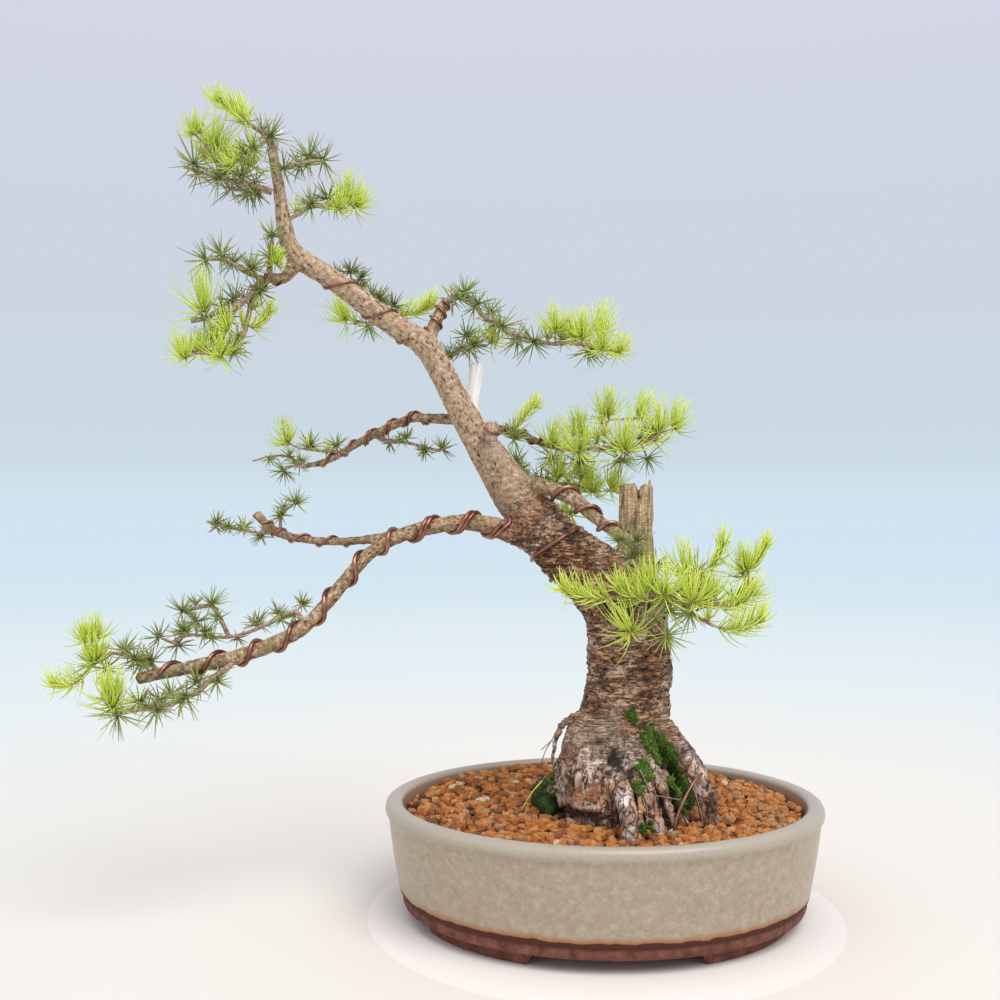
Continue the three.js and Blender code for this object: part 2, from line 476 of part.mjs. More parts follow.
function pot() {
  const halfDepthScale = POT_DEPTH / POT_WIDTH;
  const ledgeTop = FOOT_HEIGHT + LEDGE_HEIGHT;
  const floorTop = FOOT_HEIGHT + FLOOR_THICKNESS;
  const outer = POT_WIDTH / 2;
  const ledge = LEDGE_WIDTH / 2;
  const inner = outer - RIM_THICKNESS;
  const bowlProfile = [
    [0, FOOT_HEIGHT], [ledge - 3, FOOT_HEIGHT], [ledge, FOOT_HEIGHT + 2.5], [ledge, ledgeTop - 1],
    [ledge + 1.5, ledgeTop], [outer - 2.5, POT_HEIGHT - 10], [outer, POT_HEIGHT - 7],
      [outer - 1, POT_HEIGHT - 2],
    [outer - 4, POT_HEIGHT], [inner + 2.5, POT_HEIGHT], [inner, POT_HEIGHT - 3], [inner - 9, floorTop + 12],
    [inner - 20, floorTop], [0, floorTop],
  ].map(([across, up]) => new THREE.Vector2(across, up));
  const foot = FOOT_WIDTH / 2;
  const footProfile = [
    [foot - FOOT_THICKNESS, 0], [foot - 2, 0], [foot, 2.5], [foot + 1, FOOT_HEIGHT + 1],
    [foot - FOOT_THICKNESS, FOOT_HEIGHT + 1], [foot - FOOT_THICKNESS, 0],
  ].map(([across, up]) => new THREE.Vector2(across, up));
  const spun = (profile) => {
    const geometry = new THREE.LatheGeometry(profile, OVAL_SIDES);
    geometry.rotateX(Math.PI / 2);
    geometry.scale(1, halfDepthScale, 1);
    return solid(geometry);
  };
  const cutter = (across) => {
    const half = across / 2;
    const corners = [[-half, -1], [half, -1], [half, 0], [half - FOOT_GAP_SLOPE, FOOT_GAP_HEIGHT],
      [FOOT_GAP_SLOPE - half, FOOT_GAP_HEIGHT], [-half, 0]];
    const arch = new THREE.Shape(corners.map(([x, y]) => new THREE.Vector2(x, y)));
    const geometry = new THREE.ExtrudeGeometry(arch, { depth: POT_WIDTH, bevelEnabled: false });
    return geometry.translate(0, 0, -POT_WIDTH / 2).rotateX(Math.PI / 2);
  };
  const sideGap = cutter(FOOT_GAP_SIDE).rotateZ(Math.PI / 2);
  const feet = spun(footProfile).subtract(solid(cutter(FOOT_GAP_FRONT))).subtract(solid(sideGap));
  const holes = joined([-1, 1].map((side) => {
    const hole = new THREE.CylinderGeometry(DRAIN_DIAMETER / 2, DRAIN_DIAMETER / 2, POT_HEIGHT / 2, 12);
    return solid(hole.rotateX(Math.PI / 2).translate(side * DRAIN_SPACING / 2, 0, FOOT_HEIGHT));
  }));
  return spun(bowlProfile).add(feet).subtract(holes);
}

// A square plastic mesh, or with an extra the plain room that it takes up.
function screenPlate(extra, middle, bottom) {
  const block = (size, depth, across, away) => solid(
    new THREE.BoxGeometry(size, size, depth).translate(middle + across, away, bottom + SCREEN_THICKNESS / 2));
  const plate = block(SCREEN_SIZE + 2 * extra, SCREEN_THICKNESS + 2 * extra, 0, 0);
  if (extra > 0) return plate;
  const pitch = (SCREEN_SIZE - SCREEN_BAR) / SCREEN_CELLS;
  const cells = Array.from({ length: SCREEN_CELLS ** 2 }, (_, index) => {
    const across = ((index % SCREEN_CELLS) - 1) * pitch;
    const away = (Math.floor(index / SCREEN_CELLS) - 1) * pitch;
    return block(pitch - SCREEN_BAR, SCREEN_THICKNESS * 3, across, away);
  });
  return plate.subtract(joined(cells));
}

// The clip lies over the screen's middle bar, goes down through the hole and bends out under the floor.
function clipPoints(side) {
  const middle = side * DRAIN_SPACING / 2;
  const reach = DRAIN_DIAMETER / 2 - CLIP_WIRE - 1;
  const top = FOOT_HEIGHT + FLOOR_THICKNESS + SEAT_GAP * 2 + SCREEN_THICKNESS + CLIP_WIRE / 2;
  const under = FOOT_HEIGHT - SEAT_GAP - CLIP_WIRE / 2;
  const corners = [[-reach - CLIP_FOOT, under], [-reach, under], [-reach, top], [reach, top], [reach, under],
    [reach + CLIP_FOOT, under]];
  return corners.map(([across, up]) => new THREE.Vector3(middle + across, 0, up));
}

// Straight rods that run a little past each other, so that they join at the bends.
function bentRod(points, diameter) {
  return joined(points.slice(1).map((end, index) => {
    const start = points[index];
    const way = end.clone().sub(start).setLength(diameter * 0.45);
    return rod([start.clone().sub(way), end.clone().add(way)], diameter / 2, 4);
  }));
}

function soil(holes) {
  const random = seeded(11);
  const inner = POT_WIDTH / 2 - RIM_THICKNESS;
  const floorTop = FOOT_HEIGHT + FLOOR_THICKNESS + SEAT_GAP;
  const edge = inner - 1.4;
  const profile = [[0, floorTop], [inner - 20.6, floorTop], [inner - 9.8, floorTop + 12],
    [edge, SOIL_EDGE_HEIGHT]].map(([across, up]) => new THREE.Vector2(across, up));
  for (let ring = 1; ring <= SOIL_RINGS; ring += 1) {
    const share = 1 - ring / SOIL_RINGS;
    const height = THREE.MathUtils.lerp(SOIL_MIDDLE_HEIGHT, SOIL_EDGE_HEIGHT, share ** 1.6);
    profile.push(new THREE.Vector2(edge * share, height));
  }
  const geometry = new THREE.LatheGeometry(profile, OVAL_SIDES);
  geometry.deleteAttribute('normal');
  geometry.deleteAttribute('uv');
  const merged = mergeVertices(geometry.rotateX(Math.PI / 2).scale(1, POT_DEPTH / POT_WIDTH, 1), 1e-3);
  const position = merged.attributes.position;
  for (let index = 0; index < position.count; index += 1) {
    const far = Math.hypot(position.getX(index), position.getY(index) * POT_WIDTH / POT_DEPTH);
    if (position.getZ(index) > SOIL_EDGE_HEIGHT + 0.01 && far > 1) {
      position.setZ(index, position.getZ(index) + (random() - 0.5) * 2 * GRANULE_RELIEF);
      position.setX(index, position.getX(index) + (random() - 0.5) * GRANULE_RELIEF);
      position.setY(index, position.getY(index) + (random() - 0.5) * GRANULE_RELIEF);
    }
  }
  return largest(solid(merged).subtract(holes));
}

function mossCushion(lumps, extra) {
  return joined(lumps.map(([place, [across, away, up]]) => {
    const middle = seen(place);
    const lump = new THREE.IcosahedronGeometry(1, 1);
    lump.scale(across + extra, away + extra, up + extra);
    return solid(lump.translate(middle.x, middle.y, middle.z));
  }));
}

// Whether a straight needle keeps clear of every rod, bar its spray's own twigs and its own tuft.
function clearOfAll(root, tip, owner) {
  const near = new THREE.Vector3();
  const point = new THREE.Vector3();
  for (const { owner: other, line, radius } of obstacles) {
    const own = other === owner;
    if (own && (radius > NEEDLE_WIDTH || line.start.distanceTo(root) < 0.01)) continue;
    for (let share = 0.1; share <= 1.01; share += 0.15) {
      point.lerpVectors(root, tip, share);
      line.closestPointToPoint(point, true, near);
      if (point.distanceTo(near) < radius + (own ? OWN_CLEARANCE : NEEDLE_CLEARANCE)) return false;
    }
  }
  return true;
}

// A needle's tip that is clear of everything near, tried a few times, or null.
function freeTip(centre, out, reach, owner, random, lean) {
  for (let go = 0; go < NEEDLE_TRIES; go += 1) {
    const wander = new THREE.Vector3(random() - 0.5, random() - 0.5, random() - 0.5).multiplyScalar(0.5);
    const way = out.clone().add(wander);
    if (lean) way.addScaledVector(lean, SHOOT_LEAN);
    const tip = centre.clone().add(way.setLength(reach * (0.82 + 0.3 * random())));
    if (clearOfAll(centre, tip, owner)) return tip;
  }
  return null;
}

// A tuft: a small bud whose faces are drawn out into needles. One face is aimed along the stalk, and drawn
// out into it, or along the shoot that the bud sits on, and left flat there.
function tuft(centre, stalkEnd, reach, owner, random, lean) {
  const shape = reach < SMALL_TUFT || lean ? new THREE.OctahedronGeometry(BUD_RADIUS, 0) : twelveFaced();
  const corner = shape.attributes.position;
  const stalk = stalkEnd.clone().sub(centre);
  const hasStalk = stalk.length() > BUD_RADIUS / 2;
  const aim = lean ?? (hasStalk ? stalk : new THREE.Vector3(0, 0, 1));
  const faceOut = (index) => [0, 1, 2].reduce(
    (sum, step) => sum.add(new THREE.Vector3().fromBufferAttribute(corner, index + step)),
    new THREE.Vector3()).normalize();
  const turned = new THREE.Quaternion().setFromUnitVectors(faceOut(0), aim.clone().normalize());
  const spun = new THREE.Quaternion().setFromAxisAngle(faceOut(0), random() * 2 * Math.PI);
  shape.applyQuaternion(turned.multiply(spun));
  const triangles = [];
  for (let index = 0; index < corner.count; index += 3) {
    const out = faceOut(index);
    const [first, second, third] = [0, 1, 2].map(
      (step) => new THREE.Vector3().fromBufferAttribute(corner, index + step).add(centre));
    const alongShoot = lean && Math.abs(out.dot(aim)) > 0.9;
    let tip = null;
    if (index === 0 && hasStalk) {
      tip = centre.clone().add(stalk.clone().setLength(stalk.length() + STALK_PAST_TWIG));
    } else if (!alongShoot) {
      tip = freeTip(centre, out, reach, owner, random, lean);
      if (tip) obstacles.push({ owner, line: new THREE.Line3(centre, tip), radius: NEEDLE_WIDTH });
    }
    if (tip) triangles.push(first, second, tip, second, third, tip, third, first, tip);
    else triangles.push(first, second, third);
  }
  return solid(new THREE.BufferGeometry().setFromPoints(triangles));
}

// A six-sided double cone, the bud of a full tuft.
function twelveFaced() {
  const geometry = new THREE.SphereGeometry(BUD_RADIUS, 6, 2);
  const loose = geometry.toNonIndexed();
  const places = [];
  const corner = loose.attributes.position;
  for (let index = 0; index < corner.count; index += 3) {
    const three = [0, 1, 2].map((step) => new THREE.Vector3().fromBufferAttribute(corner, index + step));
    const area = three[1].clone().sub(three[0]).cross(three[2].clone().sub(three[0])).length();
    if (area > 1e-6) places.push(...three);
  }
  return new THREE.BufferGeometry().setFromPoints(places);
}

const twigPath = ([thick, thin, ...route]) =>
  path(route.map(seen),
    route.map((_, index) => THREE.MathUtils.lerp(thick, thin, index / (route.length - 1))));

// Straight stretches of all the spray's twigs, to find where a tuft's stalk joins.
function nearestOnTwigs(place, twigs) {
  const near = new THREE.Vector3();
  let best = null;
  for (const points of twigs) {
    for (let index = 1; index < points.length; index += 1) {
      new THREE.Line3(points[index - 1], points[index]).closestPointToPoint(place, true, near);
      if (!best || near.distanceTo(place) < best.distanceTo(place)) best = near.clone();
    }
  }
  return best;
}

function spray(name, { twigs, tufts, shoots = [] }, blockers) {
  const random = seeded(name.length * 97 + tufts.length * 13 + twigs.length);
  const paths = [...twigs.map(twigPath),
    ...shoots.map(([, ...route]) => twigPath([SHOOT_THICK, SHOOT_THIN, ...route]))];
  const stems = paths.map((route) => limb(route, 3, route.last));
  const lines = twigs.map(([, , ...route]) => route.map(seen));
  const parts = tufts.map(([across, down, away, reach]) => {
    const centre = seen([across, down, away]);
    return tuft(centre, nearestOnTwigs(centre, lines), reach, name, random, null);
  });
  for (const [reach, ...route] of shoots) {
    const way = path(route.map(seen), route.map(() => 1));
    for (let index = 1; index <= SHOOT_BUDS; index += 1) {
      const number = (index / SHOOT_BUDS) * way.last;
      const centre = way.at(number);
      parts.push(tuft(centre, centre, reach, name, random, way.ahead(number)));
    }
  }
  return largest(joined([...stems, ...parts]).subtract(blockers));
}

const group = new THREE.Group();
const treeSolid = largest(tree(0));
const treeRoom = tree(SEAT_GAP);

for (const route of Object.values(LIMBS)) {
  const places = Array.from({ length: route.last + 1 }, (_, index) => route.at(index));
  addObstacles('tree', places, (index) => Math.max(route.radius(index - 1), route.radius(index)));
}
for (const { twigs } of Object.values(SPRAYS)) {
  for (const [thick, , ...route] of twigs) addObstacles('twig', route.map(seen), () => thick);
}
const twigObstacles = obstacles.filter(({ owner }) => owner === 'twig');

const wires = {};
const wireRooms = {};
for (const [name, winding] of Object.entries(WIRES)) {
  const points = windingPoints(winding);
  const sides = winding[5] < THICK_WIRE ? 3 : 4;
  wires[name] = rod(points, winding[5] / 2, sides);
  wireRooms[name] = rod(points, winding[5] / 2 + SEAT_GAP, sides);
  addObstacles(name, points, () => winding[5] / 2);
}
const tieRoute = path(TIE_WIRE_ROUTE.map(seen), TIE_WIRE_ROUTE.map(() => 1));
const tieSteps = tieRoute.last * TIE_WIRE_STEPS;
const tiePoints = pushedClear(
  Array.from({ length: tieSteps + 1 }, (_, index) => tieRoute.at(index / TIE_WIRE_STEPS)), THIN_WIRE / 2);
wires.tie_down_wire = rod(tiePoints, THIN_WIRE / 2, 4);
wireRooms.tie_down_wire = rod(tiePoints, THIN_WIRE / 2 + SEAT_GAP, 4);
addObstacles('tie_down_wire', tiePoints, () => THIN_WIRE / 2);

for (const obstacle of twigObstacles) obstacles.splice(obstacles.indexOf(obstacle), 1);
for (const [name, { twigs }] of Object.entries(SPRAYS)) {
  for (const [thick, , ...route] of twigs) addObstacles(name, route.map(seen), () => thick);
}

const mossSolids = {};
for (const [name, lumps] of Object.entries(MOSS)) {
  mossSolids[name] = largest(mossCushion(lumps, 0).subtract(treeRoom));
}
const mossRoom = joined(Object.values(MOSS).map((lumps) => mossCushion(lumps, SEAT_GAP)));
const tieRoom = wireRooms.tie_down_wire;
const screenHeight = FOOT_HEIGHT + FLOOR_THICKNESS + SEAT_GAP;
const drains = [-1, 1].map((side) => {
  const at = side * DRAIN_SPACING / 2;
  const plate = screenPlate(0, at, screenHeight);
  const room = screenPlate(SEAT_GAP, at, screenHeight);
  return { plate, room: room.add(bentRod(clipPoints(side), CLIP_WIRE + 2 * SEAT_GAP)),
    clip: bentRod(clipPoints(side), CLIP_WIRE) };
});

group.add(meshOf('pot', pot(), GLAZE));
group.add(meshOf('soil', soil(joined([treeRoom, mossRoom, tieRoom, ...drains.map(({ room }) => room)])),
  CLAY_GRANULES));
group.add(meshOf('tree', treeSolid, BARK));
drains.forEach(({ plate, clip }, index) => {
  group.add(meshOf(`drain_screen_${index + 1}`, plate, SCREEN_PLASTIC));
  group.add(meshOf(`drain_clip_${index + 1}`, clip, WIRE_METAL));
});
for (const [name, body] of Object.entries(mossSolids)) group.add(meshOf(name, body, MOSS_GREEN));
for (const [name, body] of Object.entries(wires)) group.add(meshOf(name, body, WIRE_METAL));
const taken = joined([treeRoom, ...Object.values(wireRooms)]);
for (const [name, description] of Object.entries(SPRAYS)) {
  group.add(meshOf(`needles_${name}`, spray(name, description, taken), NEEDLES[description.tone]));
}

// Stand the whole object over the middle of its own footprint.
const box = new THREE.Box3().setFromObject(group);
group.position.set(-(box.min.x + box.max.x) / 2, -(box.min.y + box.max.y) / 2, -box.min.z);

export default group;
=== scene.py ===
"""European larch bonsai in an oval glazed pot: the looks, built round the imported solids.

Shapes are worked out in millimetres from the middle of the pot's foot (x to the right, y away from the
viewer, z up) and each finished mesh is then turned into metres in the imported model's own frame.
"""
import logging
import math
import random
from collections.abc import Callable
from dataclasses import dataclass, field
from enum import Enum
from functools import partial
from typing import Any

import bmesh
import bpy
import numpy as np
from mathutils import Matrix, Vector, noise
from mathutils.bvhtree import BVHTree


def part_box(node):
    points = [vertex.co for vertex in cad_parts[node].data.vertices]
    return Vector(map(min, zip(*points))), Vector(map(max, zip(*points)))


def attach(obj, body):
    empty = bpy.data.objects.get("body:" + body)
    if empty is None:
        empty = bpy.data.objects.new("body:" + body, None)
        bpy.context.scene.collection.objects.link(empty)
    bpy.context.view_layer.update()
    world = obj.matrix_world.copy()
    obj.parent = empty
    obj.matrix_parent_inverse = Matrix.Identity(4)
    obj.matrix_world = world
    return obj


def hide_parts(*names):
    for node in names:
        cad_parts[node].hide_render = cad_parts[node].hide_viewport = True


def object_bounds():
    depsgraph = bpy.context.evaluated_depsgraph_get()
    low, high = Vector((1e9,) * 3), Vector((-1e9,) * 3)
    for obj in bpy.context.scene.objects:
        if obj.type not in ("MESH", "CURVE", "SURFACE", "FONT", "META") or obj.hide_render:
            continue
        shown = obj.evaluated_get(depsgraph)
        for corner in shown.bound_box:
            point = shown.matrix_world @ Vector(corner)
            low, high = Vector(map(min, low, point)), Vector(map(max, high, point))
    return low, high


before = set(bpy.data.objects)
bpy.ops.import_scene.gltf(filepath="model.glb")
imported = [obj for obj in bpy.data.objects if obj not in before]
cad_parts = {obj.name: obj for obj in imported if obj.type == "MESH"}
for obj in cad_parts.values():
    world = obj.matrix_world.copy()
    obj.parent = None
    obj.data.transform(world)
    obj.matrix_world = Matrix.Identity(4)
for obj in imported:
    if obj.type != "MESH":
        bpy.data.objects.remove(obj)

LOG = logging.getLogger("larch_bonsai")
CAD_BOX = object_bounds()
MM = 0.001
POT_LOW, POT_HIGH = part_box("pot")
POT_MIDDLE = Vector(((POT_LOW.x + POT_HIGH.x) / 2, (POT_LOW.y + POT_HIGH.y) / 2, 0.0))
UP = Vector((0.0, 0.0, 1.0))
GOLDEN_ANGLE = math.pi * (3.0 - math.sqrt(5.0))
RGBA = {"data_type": "RGBA"}
NodeMaker = Callable[..., bpy.types.Node]
# Without a seed noise_vector() takes its offsets from the clock, and no two runs would be the same.
NOISE_SEED = 7

# The viewer's eye in millimetres, and the scale of a square view of 1000 points.
EYE = Vector((-83.0, -950.0, 330.4))
VIEW_MIDDLE = 500.0
POINTS_PER_SLOPE = 1178.4

POT_WIDTH = 350.0
POT_DEPTH = 296.0
POT_HEIGHT = 92.0
LEDGE_WIDTH = 322.0
FOOT_WIDTH = 298.0
FOOT_HEIGHT = 11.0
FOOT_THICKNESS = 14.0
FOOT_GAP_FRONT = 130.0
FOOT_GAP_SIDE = 104.0
RIM_THICKNESS = 14.0
LEDGE_HEIGHT = 10.0
FLOOR_THICKNESS = 10.0
DRAIN_DIAMETER = 22.0
DRAIN_SPACING = 130.0
SOIL_EDGE_HEIGHT = 83.0
SOIL_MIDDLE_HEIGHT = 90.0
THICK_WIRE = 3.6
THIN_WIRE = 2.2


class Tone(Enum):
    """The two colours of foliage: this year's soft shoots and the older rosettes."""

    BRIGHT = "bright_needles"
    DARK = "dark_needles"


class Wood(Enum):
    """What covers a limb."""

    YOUNG_BARK = "young_bark"
    ROOT = "root"
    GREY_WOOD = "grey_wood"
    BLEACHED_WOOD = "bleached_wood"
    TAN_WOOD = "tan_wood"


@dataclass(frozen=True)
class Spray:
    """One spray of foliage as it is seen.

    Each twig is its thick and its thin radius and its places, each tuft its place, its reach and its age.
    """

    tone: Tone
    twigs: list[list[Any]] = field(default_factory=list)
    tufts: list[list[float]] = field(default_factory=list)
    shoots: list[list[Any]] = field(default_factory=list)


# Routes as they are seen from the front: across and down in points, millimetres away, radius in millimetres.
TRUNK = [[617, 846, -26, 37], [617, 800, -26, 41], [618, 762, -24, 39], [622, 728, -21, 36],
    [628, 690, -18, 33.5], [629, 655, -15, 33], [626, 620, -12, 32], [612, 592, -9, 29], [588, 570, -6, 25],
    [562, 550, -2, 23], [540, 525, 2, 21.5], [519, 500, 4, 18.5], [497, 468, 4, 15.5], [474, 432, 2, 12.3],
    [455, 398, -2, 10.6], [438, 365, -6, 10.2], [425, 345, -9, 10.2], [400, 329, -12, 9.4],
    [370, 308, -15, 8.8], [335, 281, -19, 8.5], [306, 263, -22, 8.3], [291, 249, -24, 7.6],
    [285, 230, -26, 6.8], [281, 205, -28, 5.2], [277, 175, -29, 4.4], [272, 150, -30, 4.2]]
DEAD_WOOD = {
    "tip": [[272, 152, -30, 4], [276, 140, -30, 3.2], [283, 129, -30, 1.8]],
    "knob": [[428, 352, -8, 10.5], [424, 336, -9, 9.5]],
    "stump": [[634, 600, -6, 17], [636, 560, -4, 14.5], [635, 520, -2, 13.5], [635, 484, 0, 13.2]],
    "splinter": [[646, 520, -2, 6], [649, 495, -1, 3.5], [651, 476, 0, 1.5]],
    "highJin": [[476, 432, 10, 6.8], [471, 415, 18, 7], [474, 390, 20, 6.4], [477, 363, 21, 5.6]],
    "lowJin": [[496, 470, -6, 10], [493, 455, -14, 7.2], [491, 438, -17, 5.2], [492, 421, -18, 4.8]]
}
ROOTS = {
    "bulge": [[604, 725, -34, 24], [598, 752, -44, 29], [597, 778, -50, 30], [600, 802, -54, 26],
        [604, 824, -54, 19]],
    "front": [[617, 785, -76, 9], [625, 802, -90, 7.2], [629, 820, -98, 6.4], [631, 846, -104, 5.6]],
    "right": [[640, 690, -28, 17], [652, 718, -36, 13], [670, 738, -46, 9.4], [686, 758, -54, 8],
        [697, 776, -58, 7.8], [706, 800, -61, 7.4], [713, 836, -64, 5.8]],
    "innerLeft": [[630, 745, -48, 12], [638, 772, -66, 8], [648, 802, -78, 6], [658, 840, -86, 4]],
    "innerRight": [[640, 740, -40, 12], [652, 772, -56, 7], [664, 800, -68, 5.2], [672, 838, -76, 4]],
    "left": [[596, 730, -20, 16], [572, 768, -26, 13], [560, 795, -30, 10], [551, 822, -34, 7]],
    "strand": [[580, 712, -46, 3], [561, 727, -50, 2.1], [554, 750, -50, 2], [553, 778, -50, 2],
        [562, 808, -54, 2.2]],
    "backLeft": [[612, 735, 0, 20], [594, 768, 26, 14], [580, 798, 50, 9], [572, 818, 66, 6]],
    "backRight": [[630, 735, 0, 20], [652, 766, 24, 14], [668, 792, 46, 9], [680, 812, 62, 6]]
}
BRANCHES = {
    "lowLeft": [[545, 545, 0, 12], [518, 535, -6, 9.5], [492, 526, -10, 7.6], [465, 522, -12, 6.4],
        [432, 527, -14, 6.2], [402, 535, -16, 5.8], [378, 547, -19, 5.3], [352, 572, -23, 5.2],
        [328, 602, -28, 5.2], [300, 630, -33, 5.6], [268, 646, -38, 6], [240, 656, -42, 6],
        [205, 664, -46, 5.4], [168, 672, -49, 5], [136, 679, -51, 4.6]],
    "lowLeftUpper": [[412, 533, -15, 5.2], [385, 537, -13, 4.3], [352, 541, -9, 3.6], [320, 541, -5, 3.4],
        [288, 536, -1, 3.6], [270, 528, 1, 3.8], [256, 513, 3, 3.8]],
    "midLeft": [[462, 418, 6, 5], [437, 419, 14, 4.4], [413, 418, 19, 4], [392, 426, 23, 3.8],
        [371, 436, 27, 3.6], [350, 448, 31, 3.3], [327, 461, 35, 3], [306, 466, 38, 2.4]],
    "rightFront": [[524, 487, 0, 8], [540, 486, -9, 6.6], [556, 491, -18, 6.2], [574, 499, -27, 6],
        [588, 511, -35, 5.4], [602, 523, -43, 4.8], [616, 532, -51, 4.4], [629, 540, -57, 4]],
    "midRight": [[482, 436, 10, 6], [496, 430, 22, 4.6], [512, 431, 30, 3.8], [530, 438, 35, 3.4],
        [546, 446, 38, 3]],
    "upperRight": [[431, 352, -8, 6.5], [431, 337, -6, 5.4], [436, 321, -4, 5], [442, 309, -2, 4.6],
        [446, 301, 0, 4]],
    "leftFork": [[296, 262, -24, 6], [284, 278, -30, 4.4], [268, 279, -36, 3.8], [257, 288, -41, 3.6],
        [252, 300, -45, 3.4]]
}
WIRES = {
    "wire_low_left_a": ["lowLeft", 1.75, 13.2, 9.06, 5.9, THICK_WIRE],
    "wire_low_left_b": ["lowLeft", 1.35, 4.6, 2.57, 4.6, THICK_WIRE],
    "wire_low_left_upper": ["lowLeftUpper", 2.0, 5.4, 4, 0.2, THIN_WIRE],
    "wire_mid_left_a": ["midLeft", 1.2, 6.4, 5.4, 0.4, THIN_WIRE],
    "wire_mid_left_b": ["midLeft", 1.5, 4.4, 3, 1.5, THIN_WIRE],
    "wire_right_front": ["rightFront", 1.4, 6.6, 3.4, 2.4, THICK_WIRE],
    "wire_mid_right": ["midRight", 1.4, 3.8, 2.4, 0, THIN_WIRE],
    "wire_upper_right": ["upperRight", 1.2, 3.7, 3, 0.5, THIN_WIRE],
    "wire_left_fork": ["leftFork", 1.3, 3.6, 2, 0.8, THIN_WIRE],
    "wire_trunk_upper": ["trunk", 16.6, 19.6, 2.6, 0.4, THIN_WIRE],
    "wire_trunk_ring": ["trunk", 8.7, 9.4, 1.1, 1.2, THICK_WIRE],
    "wire_low_jin": ["lowJin", 1.75, 2.75, 1.6, 0, THIN_WIRE]
}
TIE_WIRE_ROUTE = [[672, 850, -84], [676, 822, -84], [684, 800, -80], [694, 782, -73], [701, 774, -66],
    [708, 778, -50], [713, 800, -44], [716, 830, -44]]
MOSS = {
    "moss_left": [[[543, 796, -14], [9, 16, 14]], [[549, 806, -36], [9, 12, 10]]],
    "moss_back": [[[556, 802, 14], [12, 15, 12]]],
    "moss_right": [[[680, 797, -30], [12, 13, 15]], [[676, 782, -12], [11, 12, 14]],
        [[684, 804, -6], [11, 14, 10]]]
}

# Hollows, the stump's notch and rusty places: a point seen, half sizes, depth, darkness and rust. In the carved
# hollows and the notch the darkness is painted shade.
BARK_SPOTS = [[613, 754, -58, 9, 8, 4.0, 0.9, 0], [600, 740, -62, 8, 4, 1.5, 0.6, 0],
    [627, 768, -50, 5, 12, 3.0, 0.8, 0], [585, 812, -62, 24, 8, 3.0, 0.9, 0],
    [650, 800, -50, 22, 20, 1.0, 0.45, 0], [706, 800, -45, 8, 18, 0.5, 0.7, 0],
    [641, 484, -14, 4, 9, 8.0, 0.2, 0], [603, 787, -62, 26, 13, 0.0, 0.0, 1],
    [632, 812, -70, 9, 22, 0.0, 0.0, 1], [655, 655, -40, 16, 34, 0.0, 0.0, 1],
    [560, 562, -20, 34, 18, 0.0, 0.1, 1], [610, 610, -40, 30, 12, 0.0, 0.3, 0.6],
    [520, 520, -10, 16, 16, 0.0, 0.05, 0.9], [578, 742, -60, 14, 30, -0.8, -0.6, 0],
    [592, 560, -20, 24, 14, 0.0, -0.5, 0], [668, 725, -45, 16, 26, 0.0, -0.4, 0],
    [575, 790, -60, 12, 16, 0.0, 0.0, 0.9]]
SWIRL_HEART = [611, 756, -58]
# Fine roots and fibres that the solids leave out, on the front of the foot and at its left.
FIBRES = [[[640, 725, -22, 11], [656, 745, -24, 10], [671, 768, -26, 9], [684, 804, -28, 8]],
    [[641, 752, -62, 3.2], [646, 775, -72, 2.6], [652, 800, -80, 2.2], [655, 832, -86, 2.0]],
    [[650, 758, -60, 3.0], [659, 782, -70, 2.4], [668, 806, -77, 2.0], [676, 834, -82, 1.8]],
    [[632, 762, -64, 3.0], [637, 786, -76, 2.4], [640, 812, -86, 2.2], [641, 838, -94, 2.0]],
    [[622, 744, -52, 4.0], [633, 764, -62, 3.2], [649, 786, -73, 2.6], [660, 812, -79, 2.2],
    [663, 836, -84, 2.0]], [[664, 770, -60, 3.0], [676, 790, -66, 2.6], [684, 812, -70, 2.2],
    [690, 834, -72, 2.0]], [[586, 716, -44, 2.6], [569, 735, -52, 2.0], [563, 762, -56, 1.8],
    [566, 790, -58, 1.8], [576, 815, -62, 2.2]], [[584, 722, -48, 2.4], [573, 742, -56, 1.8],
    [569, 766, -60, 1.6], [572, 792, -62, 1.8], [582, 818, -66, 2.0]]]
# Ovals of moss on the bark: across, down, half width, half height, lean, clumps.
MOSS_ON_BARK = {
    "moss_right": [[660, 750, 13, 22, 0.55, 150], [680, 790, 10, 24, 0.25, 110], [632, 716, 3.5, 9, 0.5, 16],
        [645, 772, 8, 12, 0.2, 30], [638, 788, 4, 6, 0.0, 12], [646, 828, 6, 8, 0.0, 14]],
    "moss_left": [[549, 790, 7, 24, 0.0, 60]]
}
HAIR_ROOTS = [[[572, 716, -40], [562, 722, -42], [553, 738, -38], [545, 752, -34], [540, 768, -30]],
    [[571, 720, -44], [560, 730, -44], [550, 742, -38], [541, 750, -33]],
    [[688, 778, -66], [694, 790, -70], [699, 806, -72], [703, 822, -72]]]
BLADE = [[542, 781, -40], [534, 790, -44], [527, 800, -46], [521, 810, -48]]
STRAW = [[[548, 772, -34], [542, 781, -40], [536, 789, -43]], [[640, 770, -76], [646, 782, -80],
    [651, 796, -84]], [[652, 795, -78], [664, 797, -80], [680, 800, -78]]]

